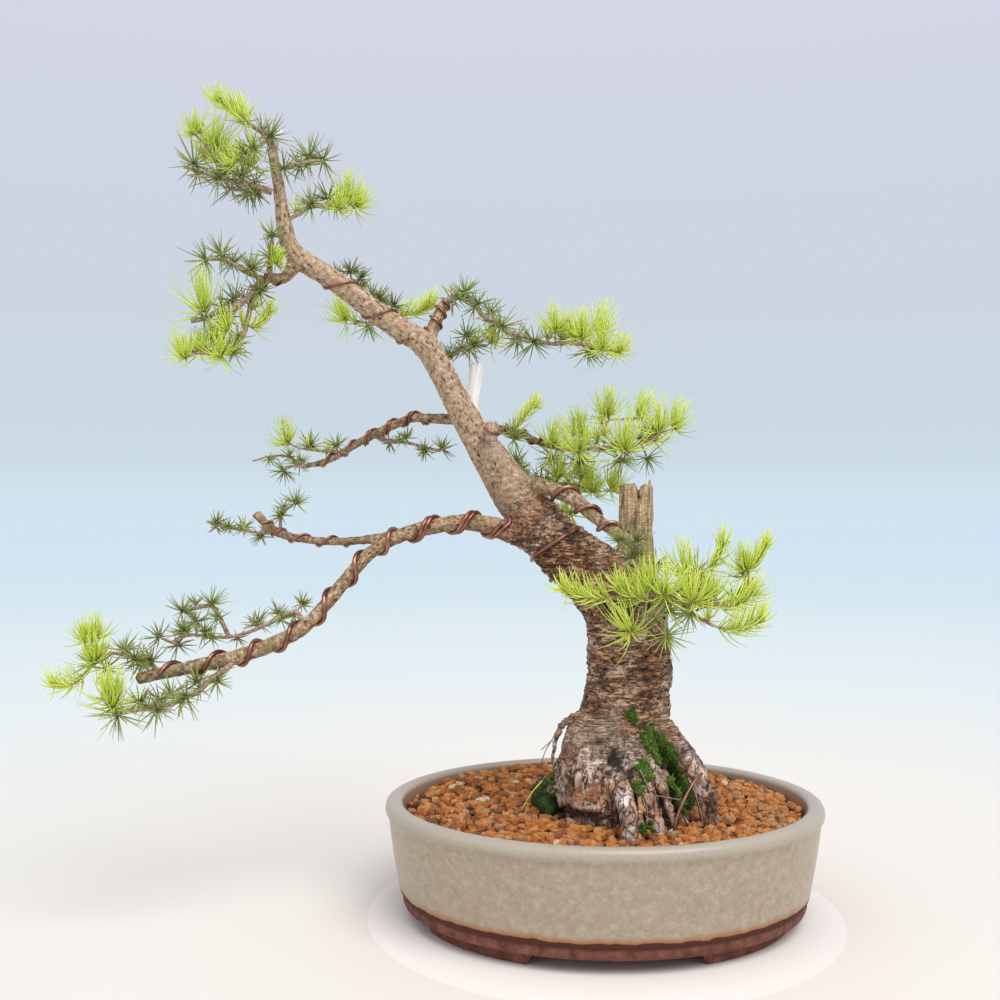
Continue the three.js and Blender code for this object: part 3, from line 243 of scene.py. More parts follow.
SPRAYS = {
    "apex_top": Spray(Tone.BRIGHT, twigs=[(2.4, 1.6, (271, 146, -30), (264, 134, -33), (251, 125, -36)),
        (1.8, 1.2, (266, 141, -32), (250, 152, -42), (240, 160, -46))],
        tufts=[(270, 137, -34, 19, 0), (252, 148, -52, 15, 0), (251, 165, -20, 15, 1),
        (243, 119, -28, 17, 1)], shoots=[(21, (256, 129, -35), (236, 114, -38), (218, 101, -40)),
        (15, (252, 151, -41), (240, 159, -45), (229, 167, -47))]),
    "apex_left": Spray(Tone.DARK, twigs=[(2.6, 1.3, (272, 192, -31), (255, 186, -35), (236, 182, -38),
        (217, 177, -41), (202, 172, -43), (184, 167, -44)), (1.8, 1.2, (262, 189, -33), (247, 190, -18),
        (232, 190, -4))], tufts=[(241, 177, -40, 18, 0), (218, 178, -44, 21, 0), (194, 165, -42, 25, 0),
        (256, 192, -33, 13, 0), (231, 189, -3, 18, 0), (248, 193, -16, 14, 0)]),
    "apex_left_shoots": Spray(Tone.BRIGHT, twigs=[(1.6, 1.1, (221, 171, -38), (215, 160, -34),
        (208, 148, -32), (197, 136, -30))], tufts=[(196, 134, -30, 15, 1), (214, 147, -36, 23, 1),
        (226, 162, -30, 17, 1), (205, 155, -18, 17, 1)]),
    "apex_right_high": Spray(Tone.DARK, twigs=[(1.7, 1.1, (279, 170, -29), (291, 166, -27), (311, 161, -23),
        (322, 161, -20))], tufts=[(284, 169, -36, 17, 0), (309, 157, -22, 19, 0), (323, 160, -18, 17, 0),
        (300, 165, -14, 13, 0)]),
    "apex_right_low": Spray(Tone.DARK, twigs=[(1.9, 1.2, (286, 221, -27), (300, 213, -24), (311, 207, -20),
        (328, 206, -16), (347, 202, -12))], tufts=[(311, 206, -22, 16, 0), (328, 199, -12, 17, 0),
        (347, 200, -14, 20, 1), (355, 206, -8, 17, 1), (339, 208, -24, 13, 1)]),
    "bend_spurs": Spray(Tone.DARK, twigs=[(2.2, 1.8, (270, 278, -36), (270, 256, -39), (272, 240, -40))],
        tufts=[(272, 236, -41, 13, 0), (271, 256, -44, 15, 0), (276, 262, -46, 10, 1)]),
    "left_upper": Spray(Tone.DARK, twigs=[(2, 1.3, (266, 279, -37), (247, 273, -44), (226, 260, -48),
        (212, 259, -50))], tufts=[(206, 260, -50, 19, 0), (221, 255, -46, 17, 0), (252, 268, -52, 14, 0),
        (232, 263, -38, 12, 0)]),
    "left_mid": Spray(Tone.DARK, twigs=[(2.6, 1.8, (257, 290, -44), (245, 300, -50), (232, 310, -50),
        (217, 312, -51), (206, 318, -52), (191, 321, -52))], tufts=[(234, 300, -48, 16, 0),
        (259, 291, -52, 15, 0), (204, 310, -54, 28, 1), (224, 318, -40, 13, 0)]),
    "left_low": Spray(Tone.BRIGHT, twigs=[(2.3, 1.2, (252, 299, -43), (247, 322, -44), (242, 338, -48),
        (231, 350, -50), (220, 352, -51), (199, 353, -53), (186, 357, -54))],
        tufts=[(185, 357, -54, 18, 1), (199, 351, -50, 16, 1), (221, 355, -54, 19, 1), (214, 341, -46, 15, 1),
        (228, 329, -52, 16, 1), (236, 345, -36, 14, 0)], shoots=[(15, (246, 326, -46), (258, 326, -44),
        (270, 312, -42))]),
    "behind_trunk": Spray(Tone.DARK, twigs=[(2.6, 1.4, (344, 290, -12), (352, 281, 10), (360, 288, 15),
        (375, 303, 19), (390, 315, 22))], tufts=[(350, 272, 10, 12, 0), (360, 279, 13, 12, 0),
        (338, 276, 6, 11, 0), (379, 299, 16, 13, 0), (393, 306, 20, 13, 0), (372, 296, 34, 14, 0)]),
    "behind_trunk_shoots": Spray(Tone.BRIGHT, twigs=[(1.6, 1.2, (400, 330, -8), (392, 323, 16),
        (372, 324, 32), (352, 320, 44))], tufts=[(346, 319, 44, 19, 1), (368, 326, 40, 14, 0)],
        shoots=[(18, (392, 322, 16), (405, 315, 22), (419, 312, 24), (430, 306, 24))]),
    "upper_right_inner": Spray(Tone.DARK, twigs=[(2.6, 1.8, (445, 302, 0), (454, 297, 2), (466, 298, 3),
        (476, 306, 4), (484, 317, 5), (496, 323, 6), (507, 332, 7), (522, 336, 8), (537, 341, 9))],
        tufts=[(465, 293, 0, 15, 0), (478, 303, -6, 15, 0), (452, 300, 12, 12, 0), (501, 326, -2, 21, 0),
        (490, 313, 14, 14, 0), (534, 343, 4, 20, 0), (517, 340, 22, 16, 0)]),
    "upper_right_outer": Spray(Tone.BRIGHT, twigs=[(1.8, 1.2, (538, 341.3, 9.2), (553, 344, 9), (568, 343, 8),
        (584, 345, 6), (602, 347, 4), (616, 351, 2)), (1.4, 1, (556, 344, 9), (566, 338, 26),
        (574, 333, 38))], tufts=[(555, 331, 4, 20, 1), (582, 337, -4, 19, 1), (600, 332, 8, 22, 1),
        (603, 349, -8, 20, 1), (618, 352, 2, 15, 1), (574, 335, 38, 18, 1), (588, 352, 14, 16, 0)]),
    "upper_right_low": Spray(Tone.DARK, twigs=[(1.8, 1.2, (440, 368, -4), (450, 358, 14), (461, 350, 18),
        (472, 346, 20), (486, 346, 22))], tufts=[(451, 356, 14, 15, 0), (466, 336, 14, 14, 0),
        (474, 345, 14, 15, 0), (491, 342, 22, 18, 1), (470, 350, 36, 13, 0)]),
    "mid_left_tips": Spray(Tone.DARK, twigs=[(1.5, 0.9, (343, 452, 32), (325, 451, 31), (312, 450, 30),
        (298, 448, 28))], tufts=[(310, 446, 29, 14, 0), (337, 446, 28, 12, 0), (288, 443, 28, 18, 1)]),
    "mid_left_end": Spray(Tone.DARK, twigs=[(1.7, 1.1, (309, 466, 38), (296, 466, 40), (286, 467, 42)),
        (1.3, 0.8, (300, 465, 39), (290, 457, 42), (272, 456, 46), (253, 461, 50))],
        tufts=[(284, 471, 44, 12, 0), (300, 462, 54, 10, 0)]),
    "mid_left_back": Spray(Tone.DARK, twigs=[(1.6, 1.2, (374, 435, 27), (380, 439, 36), (393, 441, 34),
        (408, 443, 30), (424, 447, 26), (440, 451, 22))], tufts=[(406, 438, 27, 10, 0), (442, 449, 24, 11, 0),
        (425, 451, 24, 9, 0), (390, 443, 42, 10, 0)]),
    "low_left_upper_tips": Spray(Tone.DARK, twigs=[(1.4, 0.9, (278, 533, 1), (264, 533, 8), (252, 532, 12),
        (234, 529, 14), (218, 525, 18), (207, 522, 20))], tufts=[(217, 523, 18, 10, 0), (229, 527, 12, 8, 0),
        (261, 536, 12, 10, 0), (244, 527, 26, 9, 0)]),
    "low_left_upper_twig": Spray(Tone.DARK, twigs=[(1.5, 0.9, (281, 534, 0), (281, 518, -8), (288, 508, -10),
        (295, 504, -12))], tufts=[(281, 515, -10, 9, 0), (296, 503, -12, 13, 0)]),
    "low_left_top": Spray(Tone.DARK, twigs=[(2.1, 1.3, (305, 625, -32), (296, 612, -22), (281, 618, -18),
        (263, 626, -16), (246, 633, -16), (229, 637, -18), (212, 637, -22), (190, 635, -28), (172, 642, -32)),
        (1.9, 1.5, (229, 637, -18), (222, 622, -24), (212, 606, -28), (196, 608, -30), (182, 611, -32))],
        tufts=[(211, 604, -29, 14, 0), (182, 611, -33, 14, 0), (204, 633, -28, 13, 0), (183, 631, -30, 14, 0),
        (159, 637, -34, 14, 0), (178, 645, -24, 13, 0), (258, 622, -8, 12, 0), (279, 614, -12, 11, 0),
        (302, 604, -16, 10, 0), (196, 622, -10, 13, 0)]),
    "low_left_end": Spray(Tone.DARK, twigs=[(2.2, 1.4, (160, 673, -49), (148, 662, -50), (136, 659, -48),
        (124, 655, -46), (113, 653, -44))], tufts=[(151, 661, -52, 14, 0), (135, 659, -56, 16, 0),
        (125, 650, -40, 14, 0), (140, 664, -34, 13, 0)]),
    "low_left_end_shoots": Spray(Tone.BRIGHT, twigs=[(1.6, 1.2, (111.7, 652.8, -44), (102, 660, -44),
        (94, 664, -45), (86, 672, -46)), (1.3, 1, (101, 659, -44), (96, 649, -40), (95, 641, -38))],
        tufts=[(95, 639, -38, 18, 1), (95, 661, -50, 20, 1), (86, 641, -46, 14, 1), (106, 668, -28, 15, 0)],
        shoots=[(16, (87, 671, -46), (78, 681, -48), (66, 687, -49), (54, 685, -50))]),
    "low_left_under": Spray(Tone.DARK, twigs=[(2.6, 1.3, (238, 657, -43), (222, 672, -50), (207, 683, -54),
        (198, 692, -57), (185, 698, -60), (168, 705, -62), (150, 708, -64), (130, 711, -66))],
        tufts=[(217, 682, -56, 13, 0), (197, 682, -56, 14, 0), (186, 697, -64, 17, 0), (171, 694, -56, 14, 0),
        (157, 709, -66, 18, 0), (139, 702, -60, 14, 0), (160, 700, -44, 13, 0)]),
    "low_left_under_shoots": Spray(Tone.BRIGHT, twigs=[(1.5, 1.1, (128.7, 711.2, -66), (116, 710, -67),
        (108, 704, -68))], tufts=[(113, 706, -70, 25, 1), (107, 697, -62, 19, 1), (118, 715, -64, 20, 0)]),
    "mid_right_spur": Spray(Tone.DARK, twigs=[(1.7, 1.2, (508, 431, 28), (512, 435, 16), (514, 440, 12))],
        tufts=[(514, 439, 8, 16, 0)], shoots=[(14, (512, 437, 14), (520, 423, 9), (528, 413, 8),
        (535, 406, 8))]),
    "mid_right_pad": Spray(Tone.BRIGHT, twigs=[(2.6, 1.5, (542, 444, 37), (566, 449, 38), (594, 448, 36),
        (620, 447, 34), (641, 443, 34), (660, 433, 34)), (1.6, 1.1, (594, 448, 36), (600, 434, 50),
        (609, 420, 60)), (1.6, 1.1, (620, 447, 34), (624, 450, 20), (625, 452, 8)),
        (1.5, 1.1, (566, 449, 38), (576, 440, 54), (580, 434, 62))],
        tufts=[(552, 445, 34, 22, 1), (579, 451, 14, 24, 1), (580, 433, 62, 20, 1), (608, 416, 60, 22, 1),
        (625, 450, 6, 29, 1), (638, 418, 54, 24, 1), (659, 431, 30, 25, 1), (674, 428, 36, 22, 1),
        (654, 440, 56, 18, 1), (553, 458, 44, 17, 0), (580, 462, 30, 17, 0), (621, 460, 30, 19, 0),
        (647, 458, 40, 14, 0)]),
    "mid_right_low": Spray(Tone.BRIGHT, twigs=[(2.2, 1.3, (500, 466, 4), (511, 462, 18), (521, 472, 28),
        (534, 480, 38), (548, 484, 46), (566, 484, 52), (584, 488, 56), (600, 492, 60))],
        tufts=[(545, 481, 40, 13, 0), (521, 469, 30, 11, 0), (558, 477, 44, 19, 1), (581, 478, 50, 20, 1),
        (592, 491, 48, 18, 1), (611, 490, 60, 21, 1), (570, 513, 56, 17, 1), (588, 484, 76, 18, 1)]),
    "right_pad_inner": Spray(Tone.DARK, twigs=[(3, 2.2, (627, 539, -56), (636, 550, -62), (643, 561, -66),
        (650, 572, -69))], tufts=[(633, 556, -74, 15, 0), (636, 541, -66, 15, 0), (621, 540, -66, 12, 0),
        (655, 566, -56, 14, 0)]),
    "right_pad": Spray(Tone.BRIGHT, twigs=[(2.6, 1.5, (650.6, 572.8, -69.3), (661, 588, -73), (676, 600, -76),
        (695, 605, -76), (714, 607, -74)), (1.7, 1.2, (664, 592, -74), (644, 597, -82), (618, 598, -85)),
        (1.7, 1.2, (672, 596, -74), (690, 580, -64), (704, 570, -59)),
        (1.7, 1.2, (704, 606, -74), (728, 602, -62), (745, 585, -55), (748, 574, -53)),
        (1.7, 1.2, (684, 604, -76), (700, 618, -84), (714, 626, -86)),
        (1.7, 1.2, (668, 597, -75), (652, 616, -86), (634, 629, -90))],
        tufts=[(664, 594, -86, 24, 1), (686, 574, -66, 24, 1), (693, 602, -88, 25, 1), (712, 598, -66, 22, 1),
        (630, 631, -92, 24, 1), (648, 588, -80, 20, 1), (700, 590, -40, 20, 1), (746, 570, -54, 20, 1),
        (668, 612, -80, 17, 0), (690, 614, -60, 18, 0), (666, 636, -92, 20, 0)],
        shoots=[(19, (618, 598, -85), (600, 598, -86), (582, 595, -86), (565, 590, -85)),
        (19, (650, 600, -84), (634, 597, -90), (619, 587, -93)), (22, (714, 607, -74), (728, 607, -72),
        (742, 602, -70), (754, 594, -68)), (18, (704, 570, -59), (716, 562, -57), (722, 544, -55)),
        (16, (748, 574, -53), (757, 560, -52), (766, 546, -51)), (20, (712, 625, -86), (727, 630, -86),
        (744, 628, -85), (760, 621, -84))])
}


def linear(hex_colour: str) -> tuple[float, float, float, float]:
    """Turns an sRGB hex colour into the linear colour that the shaders take.

    Args:
        hex_colour: Six hex digits after a hash sign.

    Returns:
        Red, green, blue and an alpha of one.
    """
    shares = [int(hex_colour[at:at + 2], 16) / 255 for at in (1, 3, 5)]
    return (*(share / 12.92 if share <= 0.04045 else ((share + 0.055) / 1.055) ** 2.4 for share in shares),
        1.0)


def scale_for(size_mm: float) -> float:
    """Returns the scale of a pattern on Object coordinates, in metres, whose real size is in millimetres."""
    return 1.0 / (size_mm * MM)


def seen(across: float, down: float, away: float) -> Vector:
    """Finds the place that shows at a point of the front view.

    Args:
        across: Points from the view's left side.
        down: Points from the view's top.
        away: Millimetres away from the viewer, from the pot's middle.

    Returns:
        The place in millimetres from the middle of the pot's foot.
    """
    slope = (away - EYE.y) / POINTS_PER_SLOPE
    return Vector((EYE.x + (across - VIEW_MIDDLE) * slope, away, EYE.z - (down - VIEW_MIDDLE) * slope))


def smooth_step(low: float, high: float, value: float) -> float:
    """Returns 0 below the low value, 1 above the high one, and an even ramp between them."""
    share = min(max((value - low) / (high - low), 0.0), 1.0)
    return share * share * (3.0 - 2.0 * share)


def node_maker(owner: bpy.types.Material | bpy.types.World) -> NodeMaker:
    """Empties the node tree of a material or world.

    Args:
        owner: The material or world.

    Returns:
        A function that adds a node of a kind, with its settings and inputs, to that tree.
    """
    owner.use_nodes = True
    owner.node_tree.nodes.clear()
    return partial(add_node, owner.node_tree)


def add_node(tree: bpy.types.NodeTree, kind: str, inputs: dict[str, Any] | tuple[Any, ...] = (),
        settings: dict[str, Any] | None = None) -> bpy.types.Node:
    """Adds a node with its settings, its values and its links.

    Args:
        tree: The node tree.
        kind: The node's type name after "ShaderNode".
        inputs: A value, a socket or a node, whose first output is meant, for each input by name or in order.
        settings: Properties to set. "stops" holds a ramp's places and hex colours.

    Returns:
        The new node.
    """
    node = tree.nodes.new(f"ShaderNode{kind}")
    for name, value in (settings or {}).items():
        if name != "stops":
            setattr(node, name, value)
            continue
        elements = node.color_ramp.elements
        while len(elements) < len(value):
            elements.new(0.5)
        for element, (place, colour) in zip(elements, value):
            element.position = place
            element.color = linear(colour)
    if not isinstance(inputs, dict):
        inputs = dict(zip([at for at, socket in enumerate(node.inputs) if socket.enabled], inputs))
    for key, value in inputs.items():
        if isinstance(value, bpy.types.Node):
            value = next(socket for socket in value.outputs if socket.enabled)
        if isinstance(value, bpy.types.NodeSocket):
            tree.links.new(value, node.inputs[key])
        else:
            node.inputs[key].default_value = value
    return node


@dataclass
class Station:
    """A place along a route with the directions and the radius there."""

    at: Vector
    side: Vector
    over: Vector
    ahead: Vector
    radius: float
    number: float

    def outwards(self, angle: float) -> Vector:
        """Returns the direction away from the route at an angle round it."""
        return self.side * math.cos(angle) + self.over * math.sin(angle)


@dataclass
class Route:
    """A smooth curve through places, with a radius at each. Places along it go by point number."""

    points: list[Vector]
    radii: list[float]

    @classmethod
    def traced(cls, rows: list[list[float]]) -> "Route":
        """Makes a route from rows of across, down, away and radius."""
        return cls([seen(*row[:3]) for row in rows], [row[3] for row in rows])

    @classmethod
    def tapering(cls, places: list[list[float]], thick: float, thin: float) -> "Route":
        """Makes a route from places, with a radius that runs evenly from thick to thin.

        Args:
            places: Rows of across, down and away.
            thick: The radius at the start.
            thin: The radius at the end.

        Returns:
            The route.
        """
        last = len(places) - 1
        return cls([seen(*place[:3]) for place in places], [thick + (thin - thick) * at / last for at in
            range(last + 1)])

    @property
    def last(self) -> int:
        """The number of the last point."""
        return len(self.points) - 1

    def at(self, number: float) -> Vector:
        """Finds the place at a point number, on a centripetal curve through the points.

        Args:
            number: A point number, with a fraction for a place between two points.

        Returns:
            The place.
        """
        number = min(max(number, 0.0), float(self.last))
        low = min(int(number), self.last - 1)
        share = number - low
        start, end = self.points[low], self.points[low + 1]
        before = self.points[low - 1] if low > 0 else start * 2 - end
        after = self.points[low + 2] if low + 2 <= self.last else end * 2 - start
        first, middle, final = ((b - a).length ** 0.5 for a, b in ((before, start), (start, end),
            (end, after)))
        leave = ((start - before) / first - (end - before) / (first + middle) + (end - start) /
            middle) * middle
        arrive = ((end - start) / middle - (after - start) / (middle + final) + (after - end) /
            final) * middle
        square = (end - start) * 3 - leave * 2 - arrive
        cube = (start - end) * 2 + leave + arrive
        return start + leave * share + square * share ** 2 + cube * share ** 3

    def ahead(self, number: float) -> Vector:
        """Returns the direction of the route at a point number."""
        step = 0.002
        return (self.at(min(number + step, self.last)) - self.at(max(number - step, 0.0))).normalized()

    def radius(self, number: float) -> float:
        """Returns the radius at a point number."""
        low = min(int(number), self.last - 1)
        return self.radii[low] + (self.radii[low + 1] - self.radii[low]) * (number - low)

    def stations(self, start: float, end: float, steps: int) -> list[Station]:
        """Finds places along the route with directions that turn no more than the route does.

        Args:
            start: The first point number.
            end: The last point number.
            steps: How many steps to take.

        Returns:
            One station more than there are steps.
        """
        side = Vector((0.0, 0.0, 1.0)) if abs(self.ahead(start).y) > 0.9 else Vector((0.0, -1.0, 0.0))
        found = []
        for step in range(steps + 1):
            number = start + (end - start) * step / steps
            ahead = self.ahead(number)
            side = (side - ahead * side.dot(ahead)).normalized()
            found.append(Station(self.at(number), side, side.cross(ahead), ahead, self.radius(number),
                number))
        return found

    def strand(self, steps_per_point: int) -> tuple[list[Vector], list[float]]:
        """Finds the places and radii of the whole route at even steps between its points.

        Args:
            steps_per_point: How many steps lie between two points.

        Returns:
            The places and the radii.
        """
        count = self.last * steps_per_point
        numbers = [step / steps_per_point for step in range(count + 1)]
        return [self.at(number) for number in numbers], [self.radius(number) for number in numbers]


def length_along(stations: list[Station]) -> float:
    """Returns the length of the way from the first station to the last."""
    return sum((b.at - a.at).length for a, b in zip(stations, stations[1:]))


def tube_mesh(strands: list[tuple[list[Vector], list[float]]], rounding: int) -> bpy.types.Mesh:
    """Makes closed round tubes along rows of places.

    Args:
        strands: For each tube its places and its radius at each.
        rounding: The curve's bevel resolution. The tube has four sides and two more for each step of it.

    Returns:
        One mesh with all the tubes.
    """
    curve = bpy.data.curves.new("strands", "CURVE")
    curve.dimensions = "3D"
    curve.bevel_depth = 1.0
    curve.bevel_resolution = rounding
    curve.use_fill_caps = True
    for places, radii in strands:
        spline = curve.splines.new("POLY")
        spline.points.add(len(places) - 1)
        for point, place, radius in zip(spline.points, places, radii):
            point.co = (*place, 1.0)
            point.radius = radius
    return evaluated_mesh(bpy.data.objects.new("strands", curve))


def evaluated_mesh(thing: bpy.types.Object) -> bpy.types.Mesh:
    """Turns an object with its modifiers into a plain mesh and removes the object.

    Args:
        thing: A curve or mesh object that isn't in the scene yet.

    Returns:
        The mesh that it evaluates to.
    """
    bpy.context.scene.collection.objects.link(thing)
    bpy.context.view_layer.update()
    mesh = bpy.data.meshes.new_from_object(thing.evaluated_get(bpy.context.evaluated_depsgraph_get()))
    data = thing.data
    bpy.data.objects.remove(thing)
    if isinstance(data, bpy.types.Curve):
        bpy.data.curves.remove(data)
    else:
        bpy.data.meshes.remove(data)
    return mesh


def freed(shape: bmesh.types.BMesh, name: str) -> bpy.types.Mesh:
    """Turns a finished bmesh into a mesh and frees it.

    Args:
        shape: The bmesh.
        name: The mesh's name.

    Returns:
        The mesh.
    """
    mesh = bpy.data.meshes.new(name)
    shape.to_mesh(mesh)
    shape.free()
    return mesh


def set_attribute(mesh: bpy.types.Mesh, name: str, kind: str, values: np.ndarray) -> None:
    """Stores a value for each vertex.

    Args:
        mesh: The mesh.
        name: The attribute's name.
        kind: FLOAT, FLOAT_VECTOR or FLOAT_COLOR.
        values: The values in vertex order.
    """
    layer = mesh.attributes.new(name, kind, "POINT")
    key = {"FLOAT": "value", "FLOAT_VECTOR": "vector", "FLOAT_COLOR": "color"}[kind]
    layer.data.foreach_set(key, np.asarray(values, dtype=np.float32).ravel())


def mesh_places(mesh: bpy.types.Mesh) -> np.ndarray:
    """Reads where a mesh's vertices are.

    Args:
        mesh: The mesh.

    Returns:
        Rows of x, y and z.
    """
    places = np.empty(len(mesh.vertices) * 3, dtype=np.float32)
    mesh.vertices.foreach_get("co", places)
    return places.reshape(-1, 3)


def finish_piece(name: str, mesh: bpy.types.Mesh, materials: list[bpy.types.Material], nodes: list[str],
        crease_degrees: float = 180.0) -> bpy.types.Object:
    """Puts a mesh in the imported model's frame, with its materials, its body and the nodes that it stands for.

    Args:
        name: The piece's name.
        mesh: The mesh, in millimetres from the middle of the pot's foot.
        materials: Materials in the order of the mesh's material numbers.
        nodes: CAD nodes that the piece replaces.
        crease_degrees: Edges sharper than this stay sharp.

    Returns:
        The finished object.
    """
    mesh.transform(Matrix.Translation(POT_MIDDLE) @ Matrix.Scale(MM, 4))
    mesh.polygons.foreach_set("use_smooth", [True] * len(mesh.polygons))
    if crease_degrees < 180.0:
        mesh.set_sharp_from_angle(angle=math.radians(crease_degrees))
    for material in materials:
        mesh.materials.append(material)
    mesh.name = name
    piece = bpy.data.objects.new(name, mesh)
    bpy.context.scene.collection.objects.link(piece)
    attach(piece, "root")
    if nodes:
        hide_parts(*nodes)
    mesh.calc_loop_triangles()
    LOG.info("%s: %d triangles", name, len(mesh.loop_triangles))
    return piece


@dataclass(frozen=True)
class Finish:
    """What every finish has: a common name, its gloss, and its own way of being painted."""

    name: str
    roughness: float
    ior: float = 1.5
    metallic: float = 0.0

    def material(self) -> bpy.types.Material:
        """Makes the material, with the fixed numbers set on the shader's own sockets.

        Returns:
            The material.
        """
        material = bpy.data.materials.new(self.name)
        add = node_maker(material)
        sockets = {"Roughness": self.roughness, "IOR": self.ior, "Metallic": self.metallic, **self.paint(add)}
        add("OutputMaterial", {"Surface": add("BsdfPrincipled", sockets)})
        return material

    def paint(self, add: NodeMaker) -> dict[str, bpy.types.Node]:
        """Adds the colours and the relief. Each finish has its own.

        Args:
            add: Adds a node to the material's tree.

        Returns:
            What feeds each socket of the shader.
        """
        raise NotImplementedError


@dataclass(frozen=True)
class GlazedStoneware(Finish):
    """Wheel-finished stoneware with a satin ash glaze: a warm sage grey, full of pinholes and iron specks.

    The glaze pulls back from the ledge in a wavy line with a rusty halo, and leaves dark bare clay below it.
    """

    body: str = "#a4947e"
    thin_glaze: str = "#99876d"
    rim: str = "#aa9f8d"
    halo: str = "#9c6636"
    clay: str = "#744535"
    dark_clay: str = "#4a2920"
    inner_wall: str = "#927560"
    speck_mm: float = 0.9
    cloud_mm: float = 6.0
    edge_wave_mm: float = 17.0

    def paint(self, add: NodeMaker) -> dict[str, bpy.types.Node]:
        """Paints glaze, specks, halo, bare clay with painted shade at its shoulder, and the inner wall.

        Args:
            add: Adds a node to the material's tree.

        Returns:
            What feeds each socket of the shader.
        """
        place = add("TexCoord").outputs["Object"]
        height = add("SeparateXYZ", (place,)).outputs["Z"]
        wave = add("TexNoise", (place, scale_for(self.edge_wave_mm), 3.0))
        line = add("Math", (wave, -5.0 * MM, height), {"operation": "MULTIPLY_ADD"})
        edge = (FOOT_HEIGHT + LEDGE_HEIGHT + 0.3) * MM
        glazed = add("MapRange", (line, edge, edge + 0.7 * MM))
        halo = add("MapRange", (line, edge, edge + 6.0 * MM), {"interpolation_type": "SMOOTHSTEP"})
        clouds = add("TexNoise", (place, scale_for(self.cloud_mm), 7.0, 0.78))
        glaze = add("ValToRGB", (clouds,), {"stops": [(0.34, self.thin_glaze), (0.5, self.body),
            (0.68, "#b4a78f")]})
        up_rim = add("MapRange", (height, (POT_HEIGHT - 13.0) * MM, (POT_HEIGHT - 3.0) * MM),
            {"interpolation_type": "SMOOTHSTEP"})
        cooler = add("Mix", (up_rim, glaze, linear(self.rim)), RGBA)
        rusty = add("Mix", (halo, linear(self.halo), cooler), RGBA)
        # Specks of iron and white feldspar about a millimetre wide, drawn a little large so that they show.
        spots = add("TexVoronoi", {"Vector": place, "Scale": scale_for(self.speck_mm * 2.6),
            "Randomness": 1.0})
        dot = add("MapRange", (spots, 0.3, 0.14, 0.0, 0.6))
        spot_tone = add("SeparateColor", (spots.outputs["Color"],))
        iron = add("Math", (spot_tone.outputs["Red"], 0.72), {"operation": "GREATER_THAN"})
        white = add("Math", (spot_tone.outputs["Red"], 0.16), {"operation": "LESS_THAN"})
        iron_dot = add("Math", (iron, dot), {"operation": "MULTIPLY"})
        white_dot = add("Math", (white, dot), {"operation": "MULTIPLY"})
        ironed = add("Mix", (iron_dot, rusty, linear("#8b785f")), RGBA)
        specked = add("Mix", (white_dot, ironed, linear("#b9ae9a")), RGBA)
        clay_grain = add("TexNoise", (place, scale_for(9.0), 8.0, 0.7))
        clay = add("ValToRGB", (clay_grain,), {"stops": [(0.34, self.dark_clay), (0.56, self.clay),
            (0.78, "#94604a")]})
        # Where the ledge's shoulder meets the foot of the flaring glazed wall, it is painted darker and redder:
        # painted shade in that crease.
        crease_shade_share = add("MapRange", (height, (FOOT_HEIGHT + LEDGE_HEIGHT - 3.5) * MM,
            (FOOT_HEIGHT + LEDGE_HEIGHT - 1.0) * MM))
        crease_shaded_clay = add("Mix", (crease_shade_share, clay, linear("#4b2217")), RGBA)
        outside = add("Mix", (glazed, crease_shaded_clay, specked), RGBA)
        inside = add("Attribute", (), {"attribute_name": "inside"})
        colour = add("Mix", (inside.outputs["Fac"], outside, linear(self.inner_wall)), RGBA)
        gloss = add("MapRange", (glazed, 0.0, 1.0, 0.95, self.roughness))
        fine = add("TexNoise", (place, scale_for(2.5), 4.0))
        bump = add("Bump", {"Strength": 0.35, "Distance": 0.5 * MM, "Height": fine})
        return {"Base Color": colour, "Roughness": gloss, "Normal": bump}


@dataclass(frozen=True)
class FiredClayGranules(Finish):
    """Baked volcanic clay, crumbled and sieved: dull rusty orange to brown grains, some grey, a few pale."""

    crumb_mm: float = 1.3

    def paint(self, add: NodeMaker) -> dict[str, bpy.types.Node]:
        """Gives each grain its own colour, with a crumbly surface.

        Args:
            add: Adds a node to the material's tree.

        Returns:
            What feeds each socket of the shader.
        """
        place = add("TexCoord").outputs["Object"]
        tone = add("Attribute", (), {"attribute_name": "tone"})
        grain = add("ValToRGB", (tone.outputs["Fac"],), {"stops": [(0.0, "#3d2b1e"), (0.12, "#69503c"),
            (0.22, "#8a5730"), (0.42, "#a9632c"), (0.6, "#c07736"), (0.8, "#d69250"), (0.9, "#a17f5c"),
            (1.0, "#dfc098")]})
        crumbs = add("TexNoise", (place, scale_for(self.crumb_mm), 4.0, 0.7))
        shade = add("MapRange", (crumbs, 0.3, 0.7, 0.5, 1.3))
        colour = add("VectorMath", (grain, shade), {"operation": "SCALE"})
        bump = add("Bump", {"Strength": 1.0, "Distance": 0.9 * MM, "Height": crumbs})
        return {"Base Color": colour, "Normal": bump}


